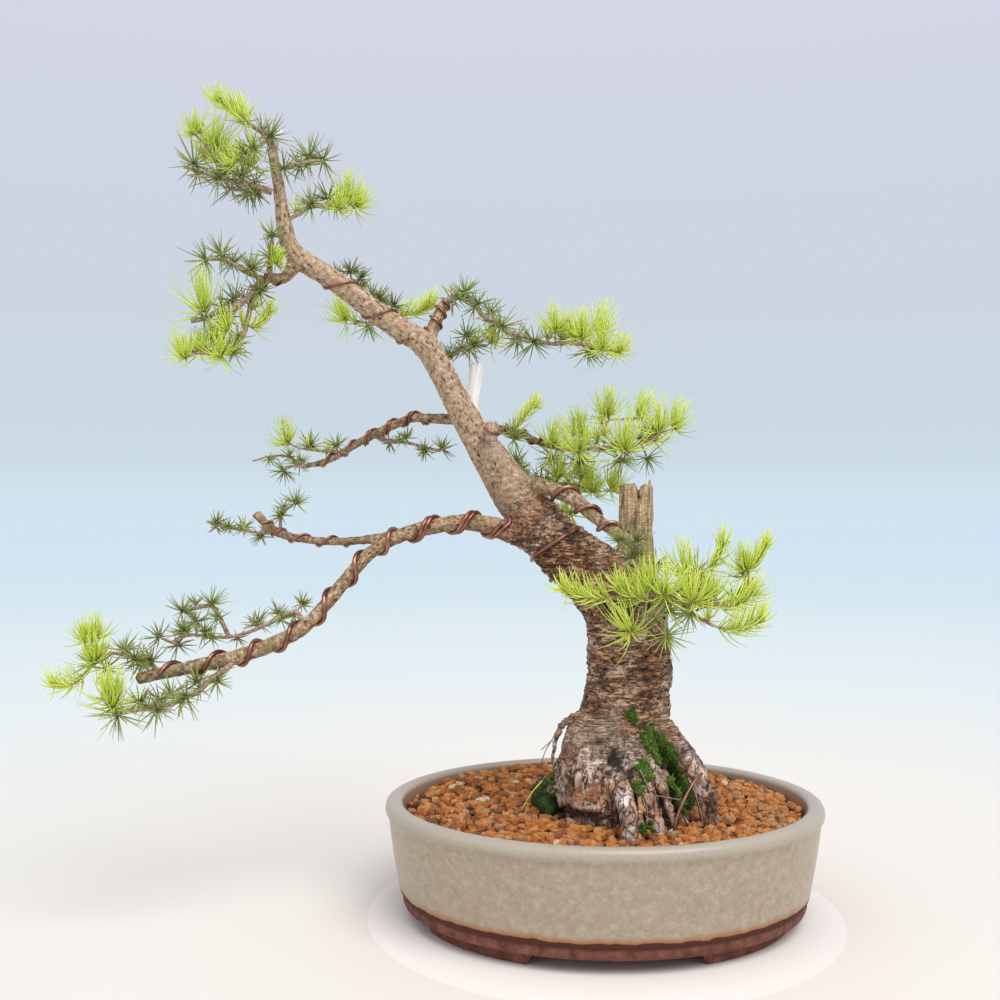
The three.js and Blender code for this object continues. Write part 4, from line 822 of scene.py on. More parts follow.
@dataclass(frozen=True)
class LarchBark(Finish):
    """Larch bark and bare wood on one tree, told apart by the attributes "zones" and "woods".

    Low on the trunk the bark is thick and flaky, brown with rusty and silvery scales. Higher up it is thin
    and pinkish beige, with short dark pores across the limb. The dead stubs are bare: grey and fibrous, tan
    or bleached.
    """

    scale_mm: float = 3.6
    patch_mm: float = 24.0
    pore_mm: float = 5.0

    def paint(self, add: NodeMaker) -> dict[str, bpy.types.Node]:
        """Mixes the coverings by their share at each place, and darkens the cracks and, as painted shade, the
        carved hollows and grooves.

        Args:
            add: Adds a node to the material's tree.

        Returns:
            What feeds each socket of the shader.
        """
        place = add("TexCoord").outputs["Object"]
        along = add("Attribute", (), {"attribute_name": "grain"}).outputs["Vector"]
        zones = add("SeparateColor", (add("Attribute", (), {"attribute_name": "zones"}).outputs["Color"],))
        woods = add("SeparateColor", (add("Attribute", (), {"attribute_name": "woods"}).outputs["Color"],))
        crack = add("Attribute", (), {"attribute_name": "crack"}).outputs["Fac"]
        patches = add("TexNoise", (place, scale_for(self.patch_mm), 6.0, 0.65))
        scales = add("TexNoise", (place, scale_for(self.scale_mm), 6.0, 0.72))
        # Old bark is wrinkled across the trunk, and the bark of roots is drawn out down them.
        wrinkle_room = add("VectorMath", (place, (scale_for(11.0), scale_for(11.0), scale_for(5.0))),
            {"operation": "MULTIPLY"})
        wrinkles = add("TexNoise", {"Vector": wrinkle_room, "Scale": 1.0, "Detail": 7.0, "Roughness": 0.7,
            "Distortion": 0.6})
        streak_room = add("VectorMath", (place, (scale_for(9.0), scale_for(9.0), scale_for(17.0))),
            {"operation": "MULTIPLY"})
        streaks = add("TexNoise", {"Vector": streak_room, "Scale": 1.0, "Detail": 7.0, "Roughness": 0.7,
            "Distortion": 1.2})
        old = add("ValToRGB", (wrinkles,), {"stops": [(0.32, "#4a3120"), (0.41, "#875f42"), (0.49, "#b08764"),
            (0.57, "#d2af90"), (0.67, "#efdcc8")]})
        rust = add("ValToRGB", (wrinkles,), {"stops": [(0.34, "#40230f"), (0.45, "#8f5a33"),
            (0.54, "#bb8152"), (0.66, "#e2b286")]})
        rust_here = add("Attribute", (), {"attribute_name": "rust"})
        rusty_value = add("Math", (rust_here.outputs["Fac"], 0.17, patches), {"operation": "MULTIPLY_ADD"})
        rusty_share = add("MapRange", (rusty_value, 0.5, 0.64, 0.0, 0.9))
        old_bark = add("Mix", (rusty_share, old, rust), RGBA)
        # Pores lie across the limb: the grain attribute has millimetres along the limb, then round it.
        pore_room = add("VectorMath", (along, (0.6 / self.pore_mm, 1.5 / self.pore_mm, 1.0)),
            {"operation": "MULTIPLY"})
        pores = add("TexVoronoi", {"Vector": pore_room, "Scale": 1.0}, {"voronoi_dimensions": "3D"})
        pore = add("MapRange", (pores, 0.27, 0.17))
        young = add("ValToRGB", (scales,), {"stops": [(0.33, "#664a32"), (0.42, "#97785c"), (0.5, "#b39475"),
            (0.6, "#c9ae92"), (0.7, "#e6d5c3")]})
        twiggy = add("ValToRGB", (scales,), {"stops": [(0.35, "#3d2815"), (0.44, "#7c6144"),
            (0.53, "#a48563"), (0.63, "#cbb092")]})
        algae_share = add("MapRange", (patches, 0.5, 0.62, 0.0, 0.55))
        filmed = add("Mix", (algae_share, twiggy, linear("#75704a")), RGBA)
        limb_bark = add("Mix", (zones.outputs["Green"], young, filmed), RGBA)
        young_bark = add("Mix", (pore, limb_bark, linear("#4d382c")), RGBA)
        bark = add("Mix", (zones.outputs["Red"], old_bark, young_bark), RGBA)
        root_tone = add("ValToRGB", (streaks,), {"stops": [(0.31, "#2e1d12"), (0.39, "#735440"),
            (0.47, "#b3917a"), (0.55, "#dcc3b0"), (0.65, "#f9ede2")]})
        rusty_root = add("Mix", (rusty_share, root_tone, rust), RGBA)
        # Towards the soil the roots are darkened almost to black.
        height = add("SeparateXYZ", (place,)).outputs["Z"]
        towards_soil = add("MapRange", (height, 97.0 * MM, 85.0 * MM, 0.0, 0.6), {"interpolation_type": "SMOOTHSTEP"})
        darkened_root = add("Mix", (towards_soil, rusty_root, linear("#3a271d")), RGBA)
        rooted = add("Mix", (zones.outputs["Blue"], bark, darkened_root), RGBA)
        # The finest cracks are drawn where a stretched noise passes through its middle value.
        drawn_out = add("Mix", (zones.outputs["Blue"], (scale_for(15.0), scale_for(15.0), scale_for(3.4)),
            (scale_for(7.0), scale_for(7.0), scale_for(16.0))), {"data_type": "VECTOR"})
        crack_room = add("VectorMath", (place, drawn_out), {"operation": "MULTIPLY"})
        winding = add("TexNoise", {"Vector": crack_room, "Scale": 1.0, "Detail": 3.0, "Roughness": 0.55,
            "Distortion": 0.8})
        off_middle = add("Math", (winding, 0.5), {"operation": "SUBTRACT"})
        distance = add("Math", (off_middle,), {"operation": "ABSOLUTE"})
        line = add("MapRange", (distance, 0.006, 0.042, 0.95, 0.0))
        barked = add("Math", (1.0, zones.outputs["Red"]), {"operation": "SUBTRACT"})
        fine_line = add("Math", (line, barked), {"operation": "MULTIPLY"})
        lined = add("Mix", (fine_line, rooted, linear("#22140c")), RGBA)
        # Bare wood is drawn in long fibres, so its noise is squeezed round the limb and stretched along it.
        fibre_room = add("VectorMath", (along, (1.0 / 38.0, 1.0 / 2.2, 1.0)), {"operation": "MULTIPLY"})
        fibres = add("TexNoise", (fibre_room, 1.0, 5.0, 0.6))
        grey = add("ValToRGB", (fibres,), {"stops": [(0.3, "#65492f"), (0.43, "#b3946c"), (0.57, "#d3b68c"),
            (0.75, "#eddab4")]})
        bleached = add("ValToRGB", (fibres,), {"stops": [(0.25, "#e6cdbf"), (0.36, "#fff6ee"),
            (0.7, "#ffffff")]})
        tan = add("ValToRGB", (fibres,), {"stops": [(0.3, "#a08468"), (0.5, "#c3a78c"), (0.75, "#dcc6b0")]})
        greyed = add("Mix", (woods.outputs["Red"], lined, grey), RGBA)
        whitened = add("Mix", (woods.outputs["Green"], greyed, bleached), RGBA)
        tanned = add("Mix", (woods.outputs["Blue"], whitened, tan), RGBA)
        # This darkens the bark's cracks, and lays painted shade in the carved hollows and the swirl's grooves.
        dark = add("Mix", (crack, tanned, linear("#20140e")), RGBA)
        flakes = add("TexVoronoi", {"Vector": place, "Scale": scale_for(self.scale_mm * 0.7)},
            {"feature": "DISTANCE_TO_EDGE"})
        flake = add("Math", (flakes, 0.22), {"operation": "MINIMUM"})
        smooth = add("Math", (zones.outputs["Red"], woods.outputs["Green"]), {"operation": "ADD"})
        rough_share = add("MapRange", (smooth, 0.0, 1.0, 0.85, 0.25))
        scaly = add("Math", (flake, scales), {"operation": "ADD"})
        relief = add("Math", (scaly, fine_line), {"operation": "SUBTRACT"})
        bump = add("Bump", {"Strength": rough_share, "Distance": 1.2 * MM, "Height": relief})
        return {"Base Color": dark, "Normal": bump}


@dataclass(frozen=True)
class AnodisedAluminium(Finish):
    """Soft drawn aluminium wire, anodised copper brown: satin, with long bright streaks and a few scuffs."""

    def paint(self, add: NodeMaker) -> dict[str, bpy.types.Node]:
        """Gives the brown a slight change of depth from turn to turn.

        Args:
            add: Adds a node to the material's tree.

        Returns:
            What feeds each socket of the shader.
        """
        place = add("TexCoord").outputs["Object"]
        wear = add("TexNoise", (place, scale_for(11.0), 4.0))
        colour = add("ValToRGB", (wear,), {"stops": [(0.35, "#835648"), (0.55, "#a37060"),
            (0.75, "#bf907d")]})
        fine = add("TexNoise", (place, scale_for(0.8)))
        bump = add("Bump", {"Strength": 0.12, "Distance": 0.1 * MM, "Height": fine})
        return {"Base Color": colour, "Normal": bump}


@dataclass(frozen=True)
class MouldedPolythene(Finish):
    """Moulded black polythene mesh: waxy, a little dusty from the clay."""

    def paint(self, add: NodeMaker) -> dict[str, bpy.types.Node]:
        """Paints the dust over the black.

        Args:
            add: Adds a node to the material's tree.

        Returns:
            What feeds each socket of the shader.
        """
        place = add("TexCoord").outputs["Object"]
        dust = add("TexNoise", (place, scale_for(6.0), 5.0))
        colour = add("ValToRGB", (dust,), {"stops": [(0.4, "#232523"), (0.8, "#5a4a3c")]})
        return {"Base Color": colour}


@dataclass(frozen=True)
class LivingMoss(Finish):
    """Living cushion moss: deep green between the leaves, yellow green at their tips, matt."""

    def paint(self, add: NodeMaker) -> dict[str, bpy.types.Node]:
        """Brightens the leaves towards their tips.

        Args:
            add: Adds a node to the material's tree.

        Returns:
            What feeds each socket of the shader.
        """
        place = add("TexCoord").outputs["Object"]
        tip = add("Attribute", (), {"attribute_name": "tone"})
        clump = add("TexNoise", (place, scale_for(7.0), 3.0))
        mixed = add("Math", (clump, 0.8, -0.4), {"operation": "MULTIPLY_ADD"})
        share = add("Math", (tip.outputs["Fac"], mixed), {"operation": "ADD"})
        colour = add("ValToRGB", (share,), {"stops": [(0.0, "#20300c"), (0.3, "#446212"), (0.6, "#6f961d"),
            (1.0, "#afca4a")]})
        return {"Base Color": colour}


@dataclass(frozen=True)
class LarchNeedles(Finish):
    """Soft larch needles: fresh yellow green on this year's growth, blue green on the older rosettes.

    A needle is waxy, a little paler where it leaves the bud, and some old ones are brown at the tip.
    """

    def paint(self, add: NodeMaker) -> dict[str, bpy.types.Node]:
        """Colours each needle by its age, and browns some of the tips.

        Args:
            add: Adds a node to the material's tree.

        Returns:
            What feeds each socket of the shader.
        """
        tone = add("Attribute", (), {"attribute_name": "tone"}).outputs["Fac"]
        brown = add("Attribute", (), {"attribute_name": "brown"}).outputs["Fac"]
        green = add("ValToRGB", (tone,), {"stops": [(0.0, "#747d3e"), (0.25, "#9aa75a"), (0.5, "#b3c454"),
            (0.75, "#cedf50"), (1.0, "#eaf46f")]})
        colour = add("Mix", (brown, green, linear("#b98a5e")), RGBA)
        return {"Base Color": colour}


@dataclass(frozen=True)
class TwigBark(Finish):
    """Young larch shoots: thin straw-brown bark, ringed by the bases of old needles."""

    pale: str = "#c2a58c"
    dark: str = "#6d4f3b"

    def paint(self, add: NodeMaker) -> dict[str, bpy.types.Node]:
        """Paints the rings as fine dark spots.

        Args:
            add: Adds a node to the material's tree.

        Returns:
            What feeds each socket of the shader.
        """
        place = add("TexCoord").outputs["Object"]
        spots = add("TexNoise", (place, scale_for(2.4), 5.0, 0.7))
        colour = add("ValToRGB", (spots,), {"stops": [(0.35, self.dark), (0.6, self.pale)]})
        bump = add("Bump", {"Strength": 0.6, "Distance": 0.5 * MM, "Height": spots})
        return {"Base Color": colour, "Normal": bump}


@dataclass
class Studio:
    """A level camera at the photograph's place, soft light, a pale floor and a pale sky behind it."""

    sensor_mm: float = 36.0
    floor_radius: float = 14.0
    sky_strength: float = 1.0
    key_strength: float = 2.15
    fill_strength: float = 0.45
    plate_radius: float = 0.188
    plate_edge: float = 0.0015

    def build(self) -> None:
        """Makes the camera, the lights, the sky and the floor."""
        camera = bpy.data.objects.new("camera", bpy.data.cameras.new("camera"))
        camera.data.sensor_width = self.sensor_mm
        camera.data.lens = POINTS_PER_SLOPE * self.sensor_mm / (2 * VIEW_MIDDLE)
        camera.data.clip_start = 0.02
        camera.location = POT_MIDDLE + EYE * MM
        camera.rotation_euler = (math.pi / 2, 0.0, 0.0)
        bpy.context.scene.collection.objects.link(camera)
        bpy.context.scene.camera = camera
        bpy.context.scene.view_settings.view_transform = "Standard"
        self.sun("key", self.key_strength, (36.0, 0.0, 30.0), 45.0)
        self.sun("fill", self.fill_strength, (48.0, 0.0, -50.0), 60.0)
        self.sky()
        self.floor()
        LOG.info("studio: camera, two lights, sky and floor")

    def sun(self, name: str, strength: float, turn: tuple[float, float, float], spread: float) -> None:
        """Adds a broad soft light that reaches everything alike.

        Args:
            name: The light's name.
            strength: Its strength.
            turn: Its turn in degrees about x, y and z.
            spread: Its width in degrees.
        """
        light = bpy.data.lights.new(name, "SUN")
        light.energy = strength
        light.angle = math.radians(spread)
        lamp = bpy.data.objects.new(name, light)
        lamp.rotation_euler = tuple(math.radians(angle) for angle in turn)
        bpy.context.scene.collection.objects.link(lamp)

    def sky(self) -> None:
        """Makes the sky: pale blue low down and a greyer lavender above."""
        world = bpy.data.worlds.new("studio")
        bpy.context.scene.world = world
        add = node_maker(world)
        way = add("TexCoord").outputs["Generated"]
        height = add("SeparateXYZ", (way,)).outputs["Z"]
        share = add("MapRange", (height, 0.0, 0.42))
        colour = add("ValToRGB", (share,), {"stops": [(0.0, "#d2e4ef"), (0.1, "#cbdae4"), (0.42, "#ccd5e1"),
            (0.7, "#d0d5e3"), (0.95, "#d3d6e6")]})
        sky = add("Background", {"Color": colour, "Strength": self.sky_strength})
        add("OutputWorld", {"Surface": sky})

    def floor(self) -> None:
        """Makes the round floor, cream under the pot and the sky's own blue far away."""
        shape = bmesh.new()
        bmesh.ops.create_circle(shape, cap_ends=True, segments=96, radius=self.floor_radius)
        mesh = freed(shape, "floor")
        mesh.transform(Matrix.Translation(POT_MIDDLE))
        material = bpy.data.materials.new("matt_paper")
        add = node_maker(material)
        place = add("TexCoord").outputs["Object"]
        away = add("VectorMath", (place, tuple(POT_MIDDLE)), {"operation": "DISTANCE"})
        share = add("MapRange", (away, 0.0, 10.0))
        colour = add("ValToRGB", (share,), {"stops": [(0.0, "#e3dbd0"), (0.03, "#e2dbd0"), (0.06, "#dbd8ce"),
            (0.12, "#cfd5d0"), (0.33, "#becccd"), (0.9, "#bbc9cf")]})
        # The pot stands on a round white plate, flush with the floor, so that only its edge is seen.
        off_plate = add("MapRange", (away, self.plate_radius, self.plate_radius + self.plate_edge))
        paper = add("Mix", (off_plate, linear("#ebe4db"), colour), RGBA)
        shader = add("BsdfPrincipled", {"Base Color": paper, "Roughness": 0.95, "Specular IOR Level": 0.0})
        add("OutputMaterial", {"Surface": shader})
        mesh.materials.append(material)
        floor = bpy.data.objects.new("floor", mesh)
        bpy.context.scene.collection.objects.link(floor)


def spun(profile: list[tuple[float, float]], turns: int) -> bpy.types.Object:
    """Spins a profile round the middle and squeezes it to the pot's oval.

    Args:
        profile: Points as distance from the middle and height, from the axis outwards and back.
        turns: How many steps go round.

    Returns:
        An object that isn't in the scene yet.
    """
    shape = bmesh.new()
    corners = [shape.verts.new((across, 0.0, up)) for across, up in profile]
    for first, second in zip(corners, corners[1:]):
        shape.edges.new((first, second))
    if profile[0][0] > 0:
        shape.edges.new((corners[-1], corners[0]))
    bmesh.ops.spin(shape, geom=shape.verts[:] + shape.edges[:], cent=(0, 0, 0), axis=(0, 0, 1),
        angle=math.tau, steps=turns, use_merge=True)
    bmesh.ops.remove_doubles(shape, verts=shape.verts, dist=0.01)
    bmesh.ops.scale(shape, vec=(1.0, POT_DEPTH / POT_WIDTH, 1.0), verts=shape.verts)
    bmesh.ops.recalc_face_normals(shape, faces=shape.faces)
    return bpy.data.objects.new("spun", freed(shape, "spun"))


@dataclass
class Pot:
    """The oval bowl with its rounded lip, its bare clay ledge, its four feet and its drainage holes."""

    turns: int = 144
    foot_slope: float = 6.0
    foot_bevel: float = 1.2
    wave: float = 0.35

    def gap_cutter(self, across: float, turned: bool) -> bpy.types.Object:
        """Makes the block that cuts a gap with sloping sides between two feet.

        Args:
            across: The gap's width at the floor.
            turned: Whether it runs from side to side and not from front to back.

        Returns:
            An object that isn't in the scene yet.
        """
        shape = bmesh.new()
        bmesh.ops.create_cube(shape, size=1.0)
        for corner in shape.verts:
            top = corner.co.z > 0
            half = across / 2 - (self.foot_slope if top else 0.0)
            corner.co.x = math.copysign(half, corner.co.x)
            corner.co.y *= POT_WIDTH * 1.2
            corner.co.z = FOOT_HEIGHT - 0.6 if top else -1.0
        if turned:
            bmesh.ops.rotate(shape, cent=(0, 0, 0), matrix=Matrix.Rotation(math.pi / 2, 3, "Z"),
                verts=shape.verts)
        bmesh.ops.recalc_face_normals(shape, faces=shape.faces)
        return bpy.data.objects.new("gap", freed(shape, "gap"))

    def combined(self, base: bpy.types.Object, others: list[bpy.types.Object], operation: str,
            bevel: float = 0.0) -> bpy.types.Object:
        """Cuts other solids out of a base, or adds them to it.

        Args:
            base: The solid to start from.
            others: The solids to cut out or add.
            operation: DIFFERENCE or UNION.
            bevel: The width of a bevel on the sharp edges, or none.

        Returns:
            A new object that isn't in the scene yet.
        """
        for other in others:
            bpy.context.scene.collection.objects.link(other)
            step = base.modifiers.new("step", "BOOLEAN")
            step.operation = operation
            step.solver = "EXACT"
            step.object = other
        if bevel > 0:
            rounding = base.modifiers.new("rounding", "BEVEL")
            rounding.width = bevel
            rounding.segments = 2
            rounding.limit_method = "ANGLE"
            rounding.angle_limit = math.radians(50)
        mesh = evaluated_mesh(base)
        for other in others:
            data = other.data
            bpy.data.objects.remove(other)
            bpy.data.meshes.remove(data)
        return bpy.data.objects.new("combined", mesh)

    def build(self, glaze: GlazedStoneware) -> None:
        """Builds the bowl and its feet as one piece and glazes it.

        Args:
            glaze: The pot's finish.
        """
        outer, ledge = POT_WIDTH / 2, LEDGE_WIDTH / 2
        inner, ledge_top = POT_WIDTH / 2 - RIM_THICKNESS, FOOT_HEIGHT + LEDGE_HEIGHT
        floor_top, foot = FOOT_HEIGHT + FLOOR_THICKNESS, FOOT_WIDTH / 2
        profile = [(0.0, FOOT_HEIGHT), (ledge - 3.2, FOOT_HEIGHT), (ledge - 1.2, FOOT_HEIGHT + 0.5),
            (ledge - 0.2, FOOT_HEIGHT + 2.2), (ledge, FOOT_HEIGHT + 4.5), (ledge - 0.1, ledge_top - 2.2),
            (ledge + 0.2, ledge_top - 1.2), (ledge + 1.4, ledge_top - 0.4), (ledge + 2.1, ledge_top + 1.2)]
        wall_from, wall_to = profile[-1], (outer - 2.6, POT_HEIGHT - 12.0)
        for step in range(1, 15):
            share = step / 15
            bulge = 0.7 * math.sin(share * math.pi)
            profile.append((wall_from[0] + (wall_to[0] - wall_from[0]) * share + bulge,
                wall_from[1] + (wall_to[1] - wall_from[1]) * share))
        profile += [wall_to, (outer - 1.4, POT_HEIGHT - 10.4), (outer - 0.4, POT_HEIGHT - 8.6),
            (outer, POT_HEIGHT - 6.6), (outer - 0.3, POT_HEIGHT - 4.2), (outer - 1.4, POT_HEIGHT - 2.0),
            (outer - 3.4, POT_HEIGHT - 0.6), (outer - 6.0, POT_HEIGHT), (inner + 4.5, POT_HEIGHT),
            (inner + 2.2, POT_HEIGHT - 0.5), (inner + 0.6, POT_HEIGHT - 1.8), (inner, POT_HEIGHT - 3.8),
            (inner - 1.5, POT_HEIGHT - 12.0), (inner - 9.0, floor_top + 12.0), (inner - 20.0, floor_top),
            (0.0, floor_top)]
        foot_profile = [(foot - FOOT_THICKNESS, 0.0), (foot - 2.4, 0.0), (foot - 0.6, 0.8), (foot, 2.6),
            (foot + 1.0, FOOT_HEIGHT + 0.8), (foot - FOOT_THICKNESS, FOOT_HEIGHT + 0.8)]
        gaps = [self.gap_cutter(FOOT_GAP_FRONT, False), self.gap_cutter(FOOT_GAP_SIDE, True)]
        feet = self.combined(spun(foot_profile, self.turns), gaps, "DIFFERENCE", self.foot_bevel)
        bowl = self.combined(spun(profile, self.turns), [feet], "UNION")
        drains = []
        for side in (-1, 1):
            shape = bmesh.new()
            bmesh.ops.create_cone(shape, cap_ends=True, segments=40, radius1=DRAIN_DIAMETER / 2,
                radius2=DRAIN_DIAMETER / 2, depth=POT_HEIGHT / 2, matrix=Matrix.Translation(
                (side * DRAIN_SPACING / 2, 0, FOOT_HEIGHT)))
            drains.append(bpy.data.objects.new("drain", freed(shape, "drain")))
        mesh = self.combined(bowl, drains, "DIFFERENCE").data
        self.settle(mesh, inner)
        finish_piece("oval_glazed_pot", mesh, [glaze.material()], ["pot"], crease_degrees=38.0)

    def settle(self, mesh: bpy.types.Mesh, inner: float) -> None:
        """Makes the walls a little uneven by hand, and marks the inner wall for its own colour.

        Args:
            mesh: The pot's mesh.
            inner: The inner wall's distance from the middle at the rim.
        """
        inside = []
        for vertex in mesh.vertices:
            place = vertex.co
            far = math.hypot(place.x, place.y * POT_WIDTH / POT_DEPTH)
            if far > 120.0 and place.z > FOOT_HEIGHT + 1.0:
                push = noise.noise(place / 42.0) * self.wave - self.wave * 0.6
                out = Vector((place.x, place.y, 0.0)).normalized()
                vertex.co = place + out * push
            below_rim = smooth_step(POT_HEIGHT - 1.0, POT_HEIGHT - 5.0, place.z)
            wall_middle = min(inner + 2.5, LEDGE_WIDTH / 2 - 4.0 + (place.z - FOOT_HEIGHT) * 0.18)
            inside.append(below_rim if far < wall_middle and place.z > FOOT_HEIGHT + 5.0 else 0.0)
        set_attribute(mesh, "inside", "FLOAT", np.array(inside))


@dataclass
class Stamp:
    """A small mesh that is laid down many times, with values kept for each vertex."""

    mesh: bpy.types.Mesh
    reach: np.ndarray

    @classmethod
    def needle(cls, bend: float, slenderness: float) -> "Stamp":
        """Makes a needle one unit long that bends towards x.

        Args:
            bend: How far its tip bends away, as a share of its length.
            slenderness: Its length over its width, as x and y are later scaled by the width.

        Returns:
            The needle, thickest in its middle.
        """
        shape = bmesh.new()
        bmesh.ops.create_cone(shape, cap_ends=True, segments=3, radius1=0.34, radius2=0.12, depth=1.0,
            matrix=Matrix.Translation((0.0, 0.0, 0.5)))
        long_edges = [edge for edge in shape.edges if abs(edge.verts[0].co.z - edge.verts[1].co.z) > 0.5]
        bmesh.ops.subdivide_edges(shape, edges=long_edges, cuts=2)
        for corner in shape.verts:
            up = corner.co.z
            swell = 1.0 + 0.75 * math.sin(math.pi * min(up * 1.1, 1.0))
            corner.co.x = corner.co.x * swell + bend * slenderness * up * up
            corner.co.y *= swell
            corner.co.z -= 0.45 * bend * bend * up
        return cls.kept(shape)

    @classmethod
    def granule(cls, draw: random.Random) -> "Stamp":
        """Makes a rounded angular grain about one unit across.

        Args:
            draw: Random numbers.

        Returns:
            The grain.
        """
        shape = bmesh.new()
        bmesh.ops.create_cube(shape, size=1.0)
        for corner in shape.verts:
            corner.co += jitter(draw, 0.17)
        bmesh.ops.bevel(shape, geom=shape.verts[:] + shape.edges[:], offset=0.24, segments=1, affect="EDGES",
            profile=0.5, material=-1)
        for corner in shape.verts:
            corner.co += jitter(draw, 0.09)
        return cls.kept(shape)

    @classmethod
    def bud(cls) -> "Stamp":
        """Makes a bud one unit in radius, a little pointed.

        Returns:
            The bud.
        """
        shape = bmesh.new()
        bmesh.ops.create_icosphere(shape, subdivisions=1, radius=1.0)
        bmesh.ops.scale(shape, vec=(1.0, 1.0, 1.35), verts=shape.verts)
        return cls.kept(shape)

    @classmethod
    def leaf(cls) -> "Stamp":
        """Makes a moss leaf one unit long: a thin three-sided cone.

        Returns:
            The leaf.
        """
        shape = bmesh.new()
        bmesh.ops.create_cone(shape, cap_ends=True, segments=3, radius1=0.5, radius2=0.04, depth=1.0,
            matrix=Matrix.Translation((0.0, 0.0, 0.5)))
        return cls.kept(shape)

    @classmethod
    def kept(cls, shape: bmesh.types.BMesh) -> "Stamp":
        """Turns a finished bmesh into a stamp and frees it."""
        mesh = freed(shape, "stamp")
        return cls(mesh, mesh_places(mesh)[:, 2].copy())


@dataclass
class Pile:
    """A mesh that grows by stamps, with the tone and browning of every vertex in step."""

    shape: bmesh.types.BMesh = field(default_factory=bmesh.new)
    tones: list[np.ndarray] = field(default_factory=list)
    browns: list[np.ndarray] = field(default_factory=list)

    def lay(self, stamp: Stamp, matrix: Matrix, tone: float, tip_tone: float = 0.0, brown: float = 0.0,
            material: int = 0) -> None:
        """Lays a copy of a stamp.

        Args:
            stamp: The stamp.
            matrix: Its place, turn and size.
            tone: Its tone at the root.
            tip_tone: What is added to the tone towards the tip.
            brown: How brown its tip is.
            material: The number of its material.
        """
        copy = stamp.mesh.copy()
        copy.transform(matrix)
        if material:
            copy.polygons.foreach_set("material_index", [material] * len(copy.polygons))
        self.shape.from_mesh(copy)
        bpy.data.meshes.remove(copy)
        self.tones.append(tone + tip_tone * stamp.reach)
        self.browns.append(brown * np.clip(stamp.reach * 2.2 - 1.2, 0.0, 1.0))

    def add(self, mesh: bpy.types.Mesh, tone: float, material: int = 0) -> None:
        """Adds a whole mesh of one tone and removes it.

        Args:
            mesh: The mesh.
            tone: Its tone.
            material: The number of its material.
        """
        if material:
            mesh.polygons.foreach_set("material_index", [material] * len(mesh.polygons))
        self.tones.append(np.full(len(mesh.vertices), tone))
        self.browns.append(np.zeros(len(mesh.vertices)))
        self.shape.from_mesh(mesh)
        bpy.data.meshes.remove(mesh)

    def mesh(self) -> bpy.types.Mesh:
        """Finishes the mesh, with its tone and browning stored.

        Returns:
            The mesh.
        """
        mesh = freed(self.shape, "pile")
        set_attribute(mesh, "tone", "FLOAT", np.concatenate(self.tones))
        set_attribute(mesh, "brown", "FLOAT", np.concatenate(self.browns))
        return mesh


def turned_to(way: Vector, towards: Vector) -> Matrix:
    """Makes a turn that points z along a way and x as near as it can towards another.

    Args:
        way: The direction for z.
        towards: The direction that x leans to.

    Returns:
        The turn as a 4 by 4 matrix.
    """
    z_way = way.normalized()
    x_way = towards - z_way * towards.dot(z_way)
    if x_way.length < 1e-4:
        x_way = z_way.orthogonal()
    x_way.normalize()
    return Matrix((x_way, z_way.cross(x_way), z_way)).transposed().to_4x4()


def standing(place: Vector, way: Vector, wide: float, tall: float) -> Matrix:
    """Makes the matrix that stands a stamp on a place.

    Args:
        place: Where it stands.
        way: The direction that it points in.
        wide: Its width.
        tall: Its length.

    Returns:
        The matrix.
    """
    return Matrix.Translation(place) @ turned_to(way, UP) @ Matrix.Diagonal((wide, wide, tall, 1.0))


def jitter(draw: random.Random, reach: float) -> Vector:
    """Returns a random vector whose parts each lie within a reach of zero."""
    return Vector([draw.uniform(-reach, reach) for _ in range(3)])


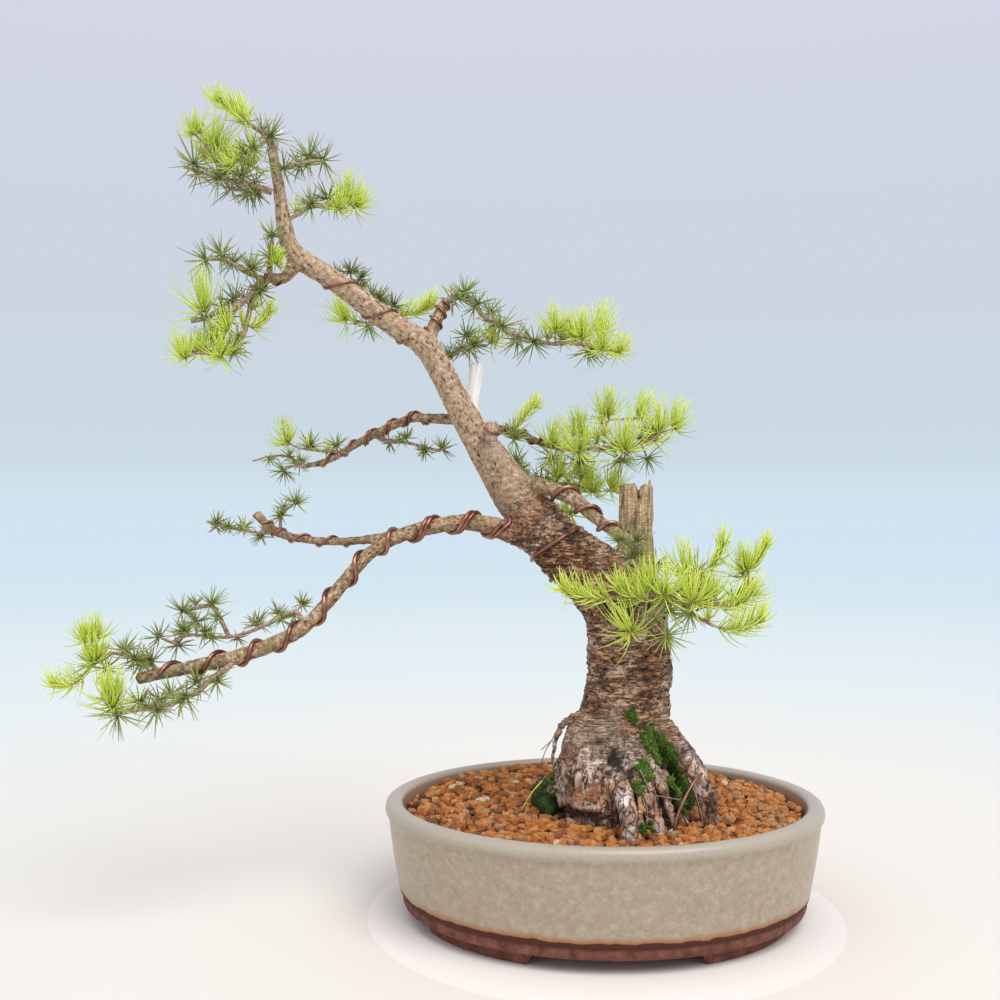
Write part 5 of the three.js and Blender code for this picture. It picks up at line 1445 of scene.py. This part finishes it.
@dataclass
class Soil:
    """The bed of baked clay granules: a filled bowl, painted almost black as the shade between the grains, with
    loose grains heaped on it.
    """

    grain_low: float = 4.6
    grain_usual: float = 5.8
    grain_high: float = 8.6
    grain_shapes: int = 14
    pitch: float = 5.3
    stray: float = 1.6
    layer_drops: tuple[float, ...] = (3.6, 0.0)
    sink: float = 2.2
    upper_gaps: float = 0.34
    bed_drop: float = 4.5
    clear: float = 1.5
    back_heap: float = 6.5
    pale_share: float = 0.015
    turns: int = 72

    def height(self, share: float) -> float:
        """Returns the bed's height at a share of the way from the middle to the wall."""
        return SOIL_MIDDLE_HEIGHT + (SOIL_EDGE_HEIGHT - SOIL_MIDDLE_HEIGHT) * share ** 1.6

    def build(self, finish: FiredClayGranules, tree: "Tree") -> None:
        """Heaps the grains on the bed, clear of the tree's inside.

        Args:
            finish: The granules' finish.
            tree: The tree that stands in the bed.
        """
        draw = random.Random(31)
        inner = POT_WIDTH / 2 - RIM_THICKNESS
        floor_top = FOOT_HEIGHT + FLOOR_THICKNESS + 0.4
        bed_edge = inner - 2.6
        profile = [(0.0, floor_top), (inner - 20.8, floor_top), (inner - 10.2, floor_top + 12.0)]
        profile += [(bed_edge * share, self.height(share) - self.bed_drop) for share in (1.0, 0.8, 0.6, 0.4,
            0.2, 0.0)]
        bed = spun(profile, self.turns)
        pile = Pile()
        # The bowl under the grains is painted almost black: painted shade in the gaps between them.
        pile.add(evaluated_mesh(bed), 0.05)
        stamps = [Stamp.granule(draw) for _ in range(self.grain_shapes)]
        reach = inner - 1.0
        rows = int(2 * reach / self.pitch) + 1
        for layer, drop in enumerate(self.layer_drops):
            for row in range(rows):
                for column in range(rows):
                    across = -reach + (column + 0.5 * (row % 2)) * self.pitch
                    across += draw.uniform(-self.stray, self.stray)
                    away = -reach + row * self.pitch + draw.uniform(-self.stray, self.stray)
                    size = draw.triangular(self.grain_low, self.grain_high, self.grain_usual)
                    share = math.hypot(across, away * POT_WIDTH / POT_DEPTH) / reach
                    if share > 1.0 - size * 0.62 / reach or (layer and draw.random() < self.upper_gaps):
                        continue
                    # At the back the grains are heaped up almost to the rim.
                    heap = self.back_heap * smooth_step(0.15, 0.85, away / (POT_DEPTH / 2)) * share
                    up = self.height(share) + heap - drop - draw.uniform(0.0, self.sink)
                    place = Vector((across, away, up))
                    if tree.depth_inside(place) > self.clear:
                        continue
                    turn = Matrix.Rotation(draw.uniform(0, math.tau), 4,
                        "Z") @ Matrix.Rotation(draw.uniform(0, math.tau), 4, "X")
                    flat = Matrix.Diagonal((size, size * draw.uniform(0.75, 1.0),
                        size * draw.uniform(0.6, 0.85), 1))
                    tone = 1.0
                    if draw.random() > self.pale_share:
                        # Grains of the lower layer are painted darker as the shade between the upper ones, and
                        # grains towards the right are painted lighter as the light falling from that side.
                        middle = 0.38 + 0.22 * layer + 0.1 * across / reach
                        tone = min(max(draw.gauss(middle, 0.23), 0.0), 0.86)
                    pile.lay(draw.choice(stamps), Matrix.Translation(place) @ turn @ flat, tone)
        finish_piece("clay_granule_bed", pile.mesh(), [finish.material()], ["soil"],
            crease_degrees=34.0)


@dataclass
class Tree:
    """Roots, trunk, branches and dead stubs, grown together into one skin with cracked bark."""

    voxel: float = 1.52
    smoothing: int = 3
    waist_height: float = 190.0
    waist_reach: float = 52.0
    dent_reach: float = 42.0
    fold_pitch: float = 5.5
    fold_reach: float = 27.0
    stump_top: float = 330.0
    mesh: bpy.types.Mesh | None = None
    skin: BVHTree | None = None

    def limbs(self) -> dict[str, Route]:
        """Returns every limb's route by name."""
        rows = {"trunk": TRUNK, **DEAD_WOOD, **ROOTS, **BRANCHES}
        return {name: Route.traced(route) for name, route in rows.items()}

    def covering(self, name: str, number: float, height: float) -> dict[Wood, float]:
        """Says what covers a limb at a place on it.

        Args:
            name: The limb's name.
            number: The point number along it.
            height: The place's height.

        Returns:
            The share of each covering.
        """
        if name in ("stump", "splinter"):
            return {Wood.GREY_WOOD: smooth_step(262.0, 284.0, height)}
        if name in ("highJin", "tip"):
            bare = smooth_step(0.3, 1.2, number)
            return {Wood.BLEACHED_WOOD: bare, Wood.YOUNG_BARK: 1.0 - bare}
        if name == "lowJin":
            bare = smooth_step(0.6, 1.4, number)
            return {Wood.TAN_WOOD: bare, Wood.YOUNG_BARK: 1.0 - bare}
        if name == "trunk":
            return {Wood.YOUNG_BARK: smooth_step(9.0, 12.8, number),
                Wood.ROOT: smooth_step(150.0, 118.0, height)}
        if name == "lowLeft":
            return {Wood.YOUNG_BARK: smooth_step(0.6, 2.6, number)}
        if name in BRANCHES or name == "knob":
            return {Wood.YOUNG_BARK: 0.92}
        return {Wood.ROOT: smooth_step(170.0, 130.0, height)}

    def relief(self, place: Vector, grain: Vector, shares: dict[Wood, float]) -> tuple[float, float, float]:
        """Works out how far the bark stands out at a place, how dark its cracks and its painted shade in
        hollows make it, and how rusty it is.

        Args:
            place: The place.
            grain: Millimetres along the limb, round it, and the limb's number.
            shares: The share of each covering.

        Returns:
            Millimetres outwards, the share of darkness from cracks and painted shade, and the rust's share.
        """
        young = shares.get(Wood.YOUNG_BARK, 0.0)
        root = shares.get(Wood.ROOT, 0.0)
        bare = sum(shares.get(kind, 0.0) for kind in (Wood.GREY_WOOD, Wood.BLEACHED_WOOD, Wood.TAN_WOOD))
        old = max(0.0, 1.0 - young - root - bare)
        out, crack = noise.noise(place / 9.0) * 0.5, 0.0
        if old > 0.02:
            waist = max(0.0, 1.0 - abs(place.z - self.waist_height) / self.waist_reach)
            cell = Vector((place.x / 6.0, place.y / 6.0, place.z / 4.4))
            near, _ = noise.voronoi(cell + noise.noise_vector(place / 5.0) * 0.9)
            plate = smooth_step(0.0, 0.3, near[1] - near[0])
            band = Vector((place.x / 16.0, place.y / 16.0, place.z / 3.2))
            ridge = abs(noise.noise(band + Vector((0.0, 0.0, noise.noise(place / 22.0) * 1.6))))
            wrinkle = smooth_step(0.02, 0.3, ridge)
            rise = plate * (1 - waist) + wrinkle * waist
            out += old * (rise - 0.55) * 1.9 + old * noise.noise(place / 3.0) * 0.6
            out += old * noise.noise(place / 17.0) * 2.0
            crack += old * (1.0 - rise) ** 1.7 * 0.7
        if root > 0.02:
            swirl = noise.noise_vector(place / 15.0) * 0.7
            fibre = abs(noise.noise(Vector((grain.x / 26.0, grain.y / 9.0, grain.z * 7.3)) + swirl))
            flake = abs(noise.noise(Vector((place.x / 5.0, place.y / 5.0, place.z / 3.4)) + swirl))
            rise = smooth_step(0.0, 0.3, fibre) * 0.6 + smooth_step(0.0, 0.28, flake) * 0.4
            rough = smooth_step(-0.25, 0.3, noise.noise(place / 24.0 + Vector((7.0, 0.0, 0.0))))
            out += root * (rise - 0.6) * (1.2 + 1.4 * rough) + root * noise.noise(place / 20.0) * 1.8
            crack += root * (1.0 - rise) ** 1.4 * (0.3 + 0.7 * rough)
        if bare > 0.02:
            line = abs(noise.noise(Vector((grain.x / 60.0, grain.y / 5.0, grain.z * 5.7))))
            rise = smooth_step(0.0, 0.3, line)
            out += bare * (rise - 0.7) * 1.1
            crack += shares.get(Wood.GREY_WOOD, 0.0) * (1.0 - rise) ** 2 * 0.6
        if young > 0.02:
            out += young * noise.noise(place / 2.8) * 0.42
            ring = noise.noise(Vector((grain.x / 3.0, grain.y / 14.0, grain.z)))
            out += young * ring * 0.2
        rust = 0.0
        # The darkness laid in the carved hollows and the stump's notch is painted shade.
        for across, down, away, wide, tall, depth, shade, rusty in BARK_SPOTS:
            gap = place - seen(across, down, away)
            far = math.hypot(gap.x / wide, gap.z / tall, gap.y / self.dent_reach)
            share = smooth_step(1.0, 0.4, far + noise.noise(place / 4.0) * 0.35)
            out -= depth * smooth_step(1.0, 0.2, far)
            crack += shade * share
            rust = max(rust, rusty * share)
        # Round the swirl's heart the folds are pressed in, and their grooves get painted shade.
        gap = place - seen(*SWIRL_HEART)
        far = math.hypot(gap.x, gap.z * 0.85, gap.y * 0.4)
        fold = abs(math.sin(math.pi * (far + noise.noise(place / 7.0) * 3.5) / self.fold_pitch))
        round_heart = smooth_step(self.fold_reach, 10.0, far) * root
        out -= round_heart * (1.0 - fold) ** 2 * 1.5
        crack += round_heart * (1.0 - fold) ** 3 * 0.8
        return out, min(max(crack, 0.0), 0.95), rust

    def skin_over(self) -> bpy.types.Mesh:
        """Joins all limbs under one skin and smooths the crooks between them.

        Returns:
            The skin.
        """
        strands = [route.strand(6) for route in self.limbs().values()]
        strands += [Route.traced(rows).strand(5) for rows in FIBRES]
        thing = bpy.data.objects.new("skin", tube_mesh(strands, 8))
        remesh = thing.modifiers.new("skin", "REMESH")
        remesh.mode = "VOXEL"
        remesh.voxel_size = self.voxel
        mesh = evaluated_mesh(thing)
        shape = bmesh.new()
        shape.from_mesh(mesh)
        for _ in range(self.smoothing):
            bmesh.ops.smooth_vert(shape, verts=shape.verts, factor=0.5, use_axis_x=True, use_axis_y=True,
                use_axis_z=True)
        shape.to_mesh(mesh)
        shape.free()
        return mesh

    def nearest(self, places: np.ndarray) -> tuple[np.ndarray, list[tuple[int, str, Station, float]]]:
        """Finds the station whose limb surface is nearest to each place.

        Args:
            places: Rows of x, y and z.

        Returns:
            The number of the nearest entry for each place, and the entries as limb number, name, station and
            millimetres along.
        """
        entries = []
        best = np.full(len(places), np.inf, dtype=np.float32)
        chosen = np.zeros(len(places), dtype=np.int64)
        length = (places ** 2).sum(axis=1)
        for order, (name, route) in enumerate(self.limbs().items()):
            stations = route.stations(0.0, route.last, route.last * 8)
            middles = np.array([station.at for station in stations], dtype=np.float32)
            radii = np.array([station.radius for station in stations], dtype=np.float32)
            along = np.concatenate(([0.0], np.cumsum(np.linalg.norm(np.diff(middles, axis=0), axis=1))))
            apart = length[:, None] + (middles ** 2).sum(axis=1)[None, :] - 2 * places @ middles.T
            gap = np.sqrt(np.maximum(apart, 0.0)) - radii[None, :]
            index = gap.argmin(axis=1)
            value = gap[np.arange(len(places)), index]
            closer = value < best
            best[closer] = value[closer]
            chosen[closer] = index[closer] + len(entries)
            entries += [(order, name, station, along[at]) for at, station in enumerate(stations)]
        return chosen, entries

    def depth_inside(self, place: Vector) -> float:
        """Finds how deep a place is inside the tree.

        Args:
            place: The place.

        Returns:
            Millimetres to the nearest bark, or nothing or less outside it.
        """
        surface, normal, _, _ = self.skin.find_nearest(place)
        depth = (surface - place).dot(normal)
        _, way_out, _, _ = self.skin.ray_cast(place, UP)
        return depth if way_out is not None and way_out.z > 0 else min(depth, 0.0)

    def build(self, bark: LarchBark) -> None:
        """Builds the tree, cracks its bark and stores what covers each place.

        Args:
            bark: The tree's finish.
        """
        mesh = self.skin_over()
        places = mesh_places(mesh)
        chosen, entries = self.nearest(places)
        normals = np.empty(len(places) * 3, dtype=np.float32)
        mesh.vertices.foreach_get("normal", normals)
        normals = normals.reshape(-1, 3)
        grains, zones, woods, cracks_and_shade, rusts = [], [], [], [], []
        for index, entry in enumerate(chosen):
            order, name, station, along = entries[entry]
            place = Vector(places[index])
            arm = place - station.at
            angle = math.atan2(arm.dot(station.over), arm.dot(station.side))
            grain = Vector((along + arm.dot(station.ahead), angle * station.radius, order))
            shares = self.covering(name, station.number, place.z)
            out, crack, rust = self.relief(place, grain, shares)
            if name in ("stump", "splinter") and place.z > self.stump_top - 12.0:
                jag = noise.noise(Vector((place.x / 4.0, place.y / 4.0, 3.0)))
                places[index, 2] -= max(0.0, (place.z - self.stump_top + 12.0)) * max(0.0, 0.1 + 0.9 * jag)
            places[index] += normals[index] * out
            grains.append(grain)
            zones.append((shares.get(Wood.YOUNG_BARK, 0.0), float(name in BRANCHES),
                shares.get(Wood.ROOT, 0.0), 1.0))
            woods.append((shares.get(Wood.GREY_WOOD, 0.0), shares.get(Wood.BLEACHED_WOOD, 0.0),
                shares.get(Wood.TAN_WOOD, 0.0), 1.0))
            cracks_and_shade.append(crack)
            rusts.append(rust)
        mesh.vertices.foreach_set("co", places.ravel())
        set_attribute(mesh, "grain", "FLOAT_VECTOR", np.array(grains))
        set_attribute(mesh, "zones", "FLOAT_COLOR", np.array(zones))
        set_attribute(mesh, "woods", "FLOAT_COLOR", np.array(woods))
        set_attribute(mesh, "crack", "FLOAT", np.array(cracks_and_shade))
        set_attribute(mesh, "rust", "FLOAT", np.array(rusts))
        shape = bmesh.new()
        shape.from_mesh(mesh)
        self.skin = BVHTree.FromBMesh(shape)
        shape.free()
        finish_piece("larch_tree", mesh, [bark.material()], ["tree"])


@dataclass
class Wires:
    """Training wires wound round the limbs, each pressed on to the bark, and the tie-down wire."""

    tree: Tree
    steps_per_turn: int = 18
    seat: float = 0.15
    start_gap: float = 0.6
    rounds: int = 4
    roundness: int = 3
    crease_degrees: float = 50.0

    def pressed(self, places: list[Vector], radius: float) -> list[Vector]:
        """Moves places out of the bark and in to it, until a wire of that radius lies on it.

        Args:
            places: The wire's middle.
            radius: Its radius.

        Returns:
            The new places.
        """
        for _ in range(self.rounds):
            moved = []
            for place in places:
                surface, normal, _, _ = self.tree.skin.find_nearest(place)
                height = (place - surface).dot(normal)
                if height < radius + self.seat:
                    moved.append(surface + normal * (radius + self.seat))
                else:
                    moved.append(place + (surface - place) * min(0.5, (height - radius) / height))
            places = [moved[0]] + [(a + b * 2 + c) / 4 for a, b, c in zip(moved, moved[1:],
                moved[2:])] + [moved[-1]]
        return places

    def winding(self, limb: str, start: float, end: float, turns: float, angle: float,
            diameter: float) -> list[Vector]:
        """Winds a wire round a limb.

        Args:
            limb: The limb's name.
            start: The point number where it starts.
            end: The point number where it ends.
            turns: How many turns it makes.
            angle: The angle at which it starts.
            diameter: The wire's diameter.

        Returns:
            The places of its middle.
        """
        stations = self.tree.limbs()[limb].stations(start, end, round(turns * self.steps_per_turn))
        places = []
        for step, station in enumerate(stations):
            round_angle = angle + step / (len(stations) - 1) * turns * math.tau
            reach = station.radius + diameter / 2 + self.start_gap
            places.append(station.at + station.outwards(round_angle) * reach)
        return self.pressed(places, diameter / 2)

    def build(self, metal: AnodisedAluminium) -> None:
        """Builds every wire as its own piece.

        Args:
            metal: The wires' finish.
        """
        material = metal.material()
        for name, (limb, start, end, turns, angle, diameter) in WIRES.items():
            self.lay(name, self.winding(limb, start, end, turns, angle, diameter), diameter, material)
        tie_wire, _ = Route.tapering(TIE_WIRE_ROUTE, 1.0, 1.0).strand(8)
        self.lay("tie_down_wire", tie_wire, THIN_WIRE, material)

    def lay(self, name: str, places: list[Vector], diameter: float, material: bpy.types.Material) -> None:
        """Makes one wire's piece.

        Args:
            name: The name of the node that it stands for.
            places: The places of its middle.
            diameter: Its diameter.
            material: Its material.
        """
        mesh = tube_mesh([(places, [diameter / 2] * len(places))], self.roundness)
        finish_piece(f"{name}_drawn", mesh, [material], [name], crease_degrees=self.crease_degrees)


@dataclass(frozen=True)
class Habit:
    """How the needles of one age grow out of a bud."""

    bud_size: float
    lift: float
    stretch: float
    upturn: float
    curls: tuple[int, ...]


FRESH = Habit(bud_size=1.9, lift=0.4, stretch=1.2, upturn=1.5, curls=(2, 3, 3, 4))
OLD = Habit(bud_size=1.3, lift=0.1, stretch=1.06, upturn=0.2, curls=(0, 0, 1))


@dataclass
class Foliage:
    """Sprays of needles: twigs, buds, rosettes and long shoots with needles all along them."""

    tree: Tree
    needle_width: float = 1.4
    rosette_needles: int = 25
    bright_extra: int = 27
    side_spacing: float = 9.5
    side_needles: int = 14
    shoot_pitch: float = 0.55
    bends: tuple[float, ...] = (0.04, 0.14, 0.32, 0.52, 0.72)
    widest_degrees: float = 118.0
    fresh_tone: float = 0.5
    brown_share: float = 0.3
    shortenings: int = 4
    shortening: float = 0.82
    margin: float = 0.3
    stamps: dict[tuple[int, int], Stamp] = field(default_factory=dict)
    bud: Stamp | None = None

    def inside_box(self, place: Vector) -> bool:
        """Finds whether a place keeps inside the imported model's box.

        Args:
            place: The place in millimetres.

        Returns:
            Whether it does.
        """
        spot = place * MM + POT_MIDDLE
        edge = self.margin * MM
        return all(CAD_BOX[0][axis] + edge < spot[axis] < CAD_BOX[1][axis] - edge for axis in range(3))

    def grow(self, pile: Pile, root: Vector, way: Vector, towards: Vector, reach: float, tone: float,
            curl: int, draw: random.Random) -> None:
        """Grows one needle, shortened if it would leave the model's box, or none if it would enter the wood.

        Args:
            pile: The spray's mesh.
            root: Where the needle starts.
            way: Its direction.
            towards: The direction that it bends to.
            reach: Its length.
            tone: Its colour, from 0 for old to 1 for fresh.
            curl: Which of the bends it has.
            draw: The spray's random numbers.
        """
        turn = turned_to(way, towards)
        bend = self.bends[curl]
        for _ in range(self.shortenings):
            tip = root + (turn @ Vector((bend, 0.0, 1.0))) * reach
            if self.inside_box(tip):
                break
            reach *= self.shortening
        else:
            return
        if self.tree.skin.ray_cast(root, way, reach * 0.9)[0] is not None:
            return
        width = self.needle_width * draw.uniform(0.85, 1.15)
        brown = draw.uniform(0.4, 1.0) if tone < self.fresh_tone and draw.random() < self.brown_share else 0.0
        size = Matrix.Diagonal((width, width, reach, 1.0))
        pile.lay(self.stamp_for(curl, reach / width), Matrix.Translation(root) @ turn @ size, tone,
            tip_tone=draw.uniform(-0.06, 0.1), brown=brown)

    def stamp_for(self, curl: int, slenderness: float) -> Stamp:
        """Finds a needle with the wanted bend at that slenderness, made the first time it is asked for.

        Args:
            curl: Which of the bends it has.
            slenderness: Its length over its width.

        Returns:
            A stamp whose bend comes out right once it is stretched.
        """
        step = round(slenderness / 4.0) * 4
        key = (curl, step)
        if key not in self.stamps:
            self.stamps[key] = Stamp.needle(self.bends[curl], step)
        return self.stamps[key]

    def rosette(self, pile: Pile, centre: Vector, axis: Vector, reach: float, count: int, tone: float,
            draw: random.Random) -> None:
        """Grows a star of needles from one bud.

        Args:
            pile: The spray's mesh.
            centre: The bud.
            axis: The direction that the rosette faces.
            reach: How long its needles are.
            count: How many needles it has.
            tone: Their colour, from 0 for old to 1 for fresh.
            draw: The spray's random numbers.
        """
        habit = FRESH if tone > self.fresh_tone else OLD
        pile.lay(self.bud, standing(centre, axis, habit.bud_size, habit.bud_size), 0.0, material=1)
        widest = math.radians(self.widest_degrees)
        frame_turn = turned_to(axis, UP)
        for index in range(count):
            share = (index + 0.5) / count
            tilt = math.acos(1.0 - share * (1.0 - math.cos(widest))) + draw.uniform(-0.3, 0.3)
            spin = index * GOLDEN_ANGLE + draw.uniform(-0.5, 0.5)
            way = frame_turn @ Vector((math.sin(tilt) * math.cos(spin), math.sin(tilt) * math.sin(spin),
                math.cos(tilt)))
            way = (way + UP * habit.lift).normalized()
            length = reach * draw.triangular(0.6, 1.2, 1.0) * habit.stretch
            shade = min(max(tone + draw.gauss(0.0, 0.07), 0.0), 1.0)
            curl = draw.choice(habit.curls)
            towards = axis * 0.6 + UP * habit.upturn + jitter(draw, 0.4)
            self.grow(pile, centre + way * 0.8, way, towards, length, shade, curl, draw)

    def shoot(self, pile: Pile, route: Route, reach: float, draw: random.Random) -> None:
        """Grows a long fresh shoot with single needles all along it and a brush at its tip.

        Args:
            pile: The spray's mesh.
            route: The shoot's route.
            reach: How long its needles are.
            draw: The spray's random numbers.
        """
        stations = route.stations(0.0, route.last, 60)
        length = length_along(stations)
        count = int(length / self.shoot_pitch)
        for index in range(count):
            station = stations[min(int(60 * (0.12 + 0.88 * index / count)), 60)]
            spin = index * GOLDEN_ANGLE + draw.uniform(-0.3, 0.3)
            out = station.outwards(spin)
            near_tip = index / count
            way = out + station.ahead * draw.uniform(0.5, 1.0 + 0.8 * near_tip) + UP * 0.2
            towards = station.ahead * 0.7 + UP * 1.6
            self.grow(pile, station.at, way.normalized(), towards,
                reach * draw.uniform(0.8, 1.15) * (1.0 - 0.2 * near_tip),
                min(0.66 + 0.36 * draw.random(), 1.0), draw.choice((2, 3, 4)), draw)
        self.rosette(pile, stations[-1].at, stations[-1].ahead, reach * 0.62, 16, 0.92, draw)

    def spray(self, name: str, plan: Spray, draw: random.Random) -> bpy.types.Mesh:
        """Builds one spray.

        Args:
            name: The spray's name. It is not used.
            plan: Its twigs, tufts and shoots.
            draw: Its random numbers.

        Returns:
            The mesh: needles, and twigs and buds as the second material.
        """
        pile = Pile()
        twigs = [Route.tapering(places, thick, thin) for thick, thin, *places in plan.twigs]
        shoots = [(reach, Route.tapering(places, 1.0, 0.5)) for reach, *places in plan.shoots]
        strands = [route.strand(4) for route in twigs] + [route.strand(4) for _, route in shoots]
        lines = [route.strand(6)[0] for route in twigs]
        bright_share = sum(tuft[4] for tuft in plan.tufts) / len(plan.tufts)
        for across, down, away, reach, fresh in plan.tufts:
            centre = seen(across, down, away)
            start = min((place for line in lines for place in line),
                key=lambda place: (place - centre).length)
            stalk = centre - start
            if stalk.length > 1.0:
                strands.append(([start, start.lerp(centre, 0.5), centre], [0.9, 0.8, 0.75]))
            axis = stalk.normalized() if stalk.length > 1.5 else Vector((draw.uniform(-1, 1), -0.4,
                0.6)).normalized()
            tone = 0.84 if fresh else (0.16 if plan.tone is Tone.DARK else 0.28)
            count = self.rosette_needles + (self.bright_extra if fresh else 0)
            self.rosette(pile, centre, axis, reach, count, tone + draw.uniform(-0.08, 0.08), draw)
        reach = sum(tuft[3] for tuft in plan.tufts) / len(plan.tufts) * 0.78
        for route in twigs:
            stations = route.stations(0.0, route.last, 40)
            length = length_along(stations)
            spacing = self.side_spacing * (2.0 - bright_share)
            count = max(1, int(length / spacing))
            for index in range(count):
                station = stations[int(40 * (index + 0.7) / (count + 0.2))]
                spin = draw.uniform(0, math.tau)
                out = station.outwards(spin) + UP * 0.5
                centre = station.at + out.normalized() * (station.radius + 1.6)
                fresh = draw.random() < bright_share * 0.75
                tone = (0.8 if fresh else 0.25) + draw.uniform(-0.1, 0.1)
                self.rosette(pile, centre, out.normalized(), min(reach, 15.0), self.side_needles, tone, draw)
        for reach, route in shoots:
            self.shoot(pile, route, reach * 1.12, draw)
        pile.add(tube_mesh(strands, 1), 0.0, material=1)
        return pile.mesh()

    def build(self, needles: LarchNeedles, twig: TwigBark) -> None:
        """Builds every spray as its own piece.

        Args:
            needles: The needles' finish.
            twig: The finish of twigs and buds.
        """
        materials = [needles.material(), twig.material()]
        self.bud = Stamp.bud()
        for number, (name, plan) in enumerate(SPRAYS.items()):
            mesh = self.spray(name, plan, random.Random(100 + number))
            finish_piece(f"larch_spray_{name}", mesh, materials, [f"needles_{name}"])


@dataclass
class Moss:
    """Cushions of moss in the crooks of the roots, with leaves standing all over them."""

    tree: Tree
    leaf_length: float = 2.4
    leaf_width: float = 0.85
    lump_share: float = 0.93
    clump_leaves: int = 13

    def cushion(self, pile: Pile, middle: Vector, halves: tuple[float, float, float], fresh: float,
            draw: random.Random) -> None:
        """Adds one lump and covers it with leaves.

        Args:
            pile: The piece's mesh.
            middle: The lump's middle.
            halves: Its half sizes across, away and up.
            fresh: How much brighter its leaves are at their tips.
            draw: Random numbers.
        """
        shape = bmesh.new()
        bmesh.ops.create_icosphere(shape, subdivisions=3, radius=1.0)
        bmesh.ops.scale(shape, vec=halves, verts=shape.verts)
        bmesh.ops.translate(shape, vec=middle, verts=shape.verts)
        for corner in shape.verts:
            corner.co += corner.normal * noise.noise(corner.co / 5.0) * 1.4
        shape.normal_update()
        leaf = Stamp.leaf()
        spots = [(face.calc_center_median(), face.normal.copy()) for face in shape.faces]
        pile.add(freed(shape, "lump"), 0.1)
        for spot, out in spots:
            if out.z < -0.5 or self.tree.depth_inside(spot) > 0.5:
                continue
            way = (out + jitter(draw, 0.5) + UP * 0.3).normalized()
            length = self.leaf_length * draw.uniform(0.6, 1.2)
            tone = draw.uniform(0.0, 0.1 + 0.5 * fresh)
            pile.lay(leaf, standing(spot, way, self.leaf_width, length), tone, tip_tone=fresh)

    def creep(self, pile: Pile, area: list[float], draw: random.Random) -> None:
        """Spreads small clumps over the bark where an oval of the front view meets it.

        Args:
            pile: The piece's mesh.
            area: The oval's middle, half sizes in points, lean, and how many clumps it has.
            draw: Random numbers.
        """
        across, down, wide, tall, lean, count = area
        clump = Stamp.bud()
        leaf = Stamp.leaf()
        for _ in range(count):
            spin, far = draw.uniform(0, math.tau), math.sqrt(draw.random())
            low = far * math.sin(spin) * tall
            way = (seen(across + far * math.cos(spin) * wide + low * lean, down + low,
                0.0) - EYE).normalized()
            spot, out, _, _ = self.tree.skin.ray_cast(EYE, way)
            if spot is None:
                continue
            size = draw.uniform(1.6, 2.9)
            pile.lay(clump, standing(spot, out, size, size * 0.5), 0.12)
            for _ in range(self.clump_leaves):
                spread = jitter(draw, 1.0)
                start = spot + (spread - out * spread.dot(out)) * size * 0.8
                lean_out = (out + spread * 0.7 + UP * 0.4).normalized()
                length = self.leaf_length * draw.uniform(0.6, 1.3)
                tone = draw.uniform(0.1, 0.5)
                pile.lay(leaf, standing(start, lean_out, self.leaf_width, length), tone, tip_tone=0.5)

    def build(self, finish: LivingMoss) -> None:
        """Builds each group of cushions as its own piece.

        Args:
            finish: The moss's finish.
        """
        material = finish.material()
        for number, (name, lumps) in enumerate(MOSS.items()):
            draw = random.Random(900 + number)
            pile = Pile()
            for place, halves in lumps:
                self.cushion(pile, seen(*place), tuple(half * self.lump_share for half in halves),
                    0.06 if name == "moss_left" else 0.5, draw)
            for area in MOSS_ON_BARK.get(name, []):
                self.creep(pile, area, draw)
            finish_piece(f"{name}_cushion", pile.mesh(), [material], [name])


def lay_fine_litter(needles: LarchNeedles, twig: TwigBark) -> None:
    """Lays the hair roots, two straws and a blade of grass by the foot of the tree.

    Args:
        needles: The green of the blade.
        twig: The brown of the roots and straws.
    """
    pile = Pile()
    for rows, radius in ((HAIR_ROOTS, 0.55), (STRAW, 0.5)):
        strands = [Route.tapering(row, radius, radius * 0.6).strand(5) for row in rows]
        pile.add(tube_mesh(strands, 0), 0.0, material=1)
    pile.add(tube_mesh([Route.tapering(BLADE, 0.8, 0.2).strand(5)], 0), 0.6)
    finish_piece("hair_roots_and_straw", pile.mesh(), [needles.material(), twig.material()], [])


def keep_hidden_parts(plastic: MouldedPolythene, metal: AnodisedAluminium) -> None:
    """Gives the drainage screens and their clips, which stay as they are, their materials.

    Args:
        plastic: The screens' finish.
        metal: The clips' finish.
    """
    for name, finish in (("drain_screen", plastic), ("drain_clip", metal)):
        material = finish.material()
        for number in (1, 2):
            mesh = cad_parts[f"{name}_{number}"].data
            mesh.materials.clear()
            mesh.materials.append(material)


def main() -> None:
    """Builds the studio and every piece in order."""
    logging.basicConfig(level=logging.INFO, format="%(message)s")
    noise.seed_set(NOISE_SEED)
    Studio().build()
    tree = Tree()
    tree.build(LarchBark("flaky_larch_bark", 0.82))
    Wires(tree).build(AnodisedAluminium("anodised_aluminium", 0.34, metallic=1.0))
    Pot().build(GlazedStoneware("ash_glazed_stoneware", 0.3))
    Soil().build(FiredClayGranules("baked_clay_granules", 0.93), tree)
    Moss(tree).build(LivingMoss("living_cushion_moss", 0.9))
    Foliage(tree).build(LarchNeedles("soft_larch_needles", 0.5), TwigBark("young_larch_twig_bark", 0.8))
    lay_fine_litter(LarchNeedles("grass_blade", 0.5), TwigBark("dry_root_skin", 0.85))
    keep_hidden_parts(MouldedPolythene("moulded_polythene", 0.5), AnodisedAluminium("bent_aluminium", 0.34,
        metallic=1.0))


if __name__ == "__main__":
    main()
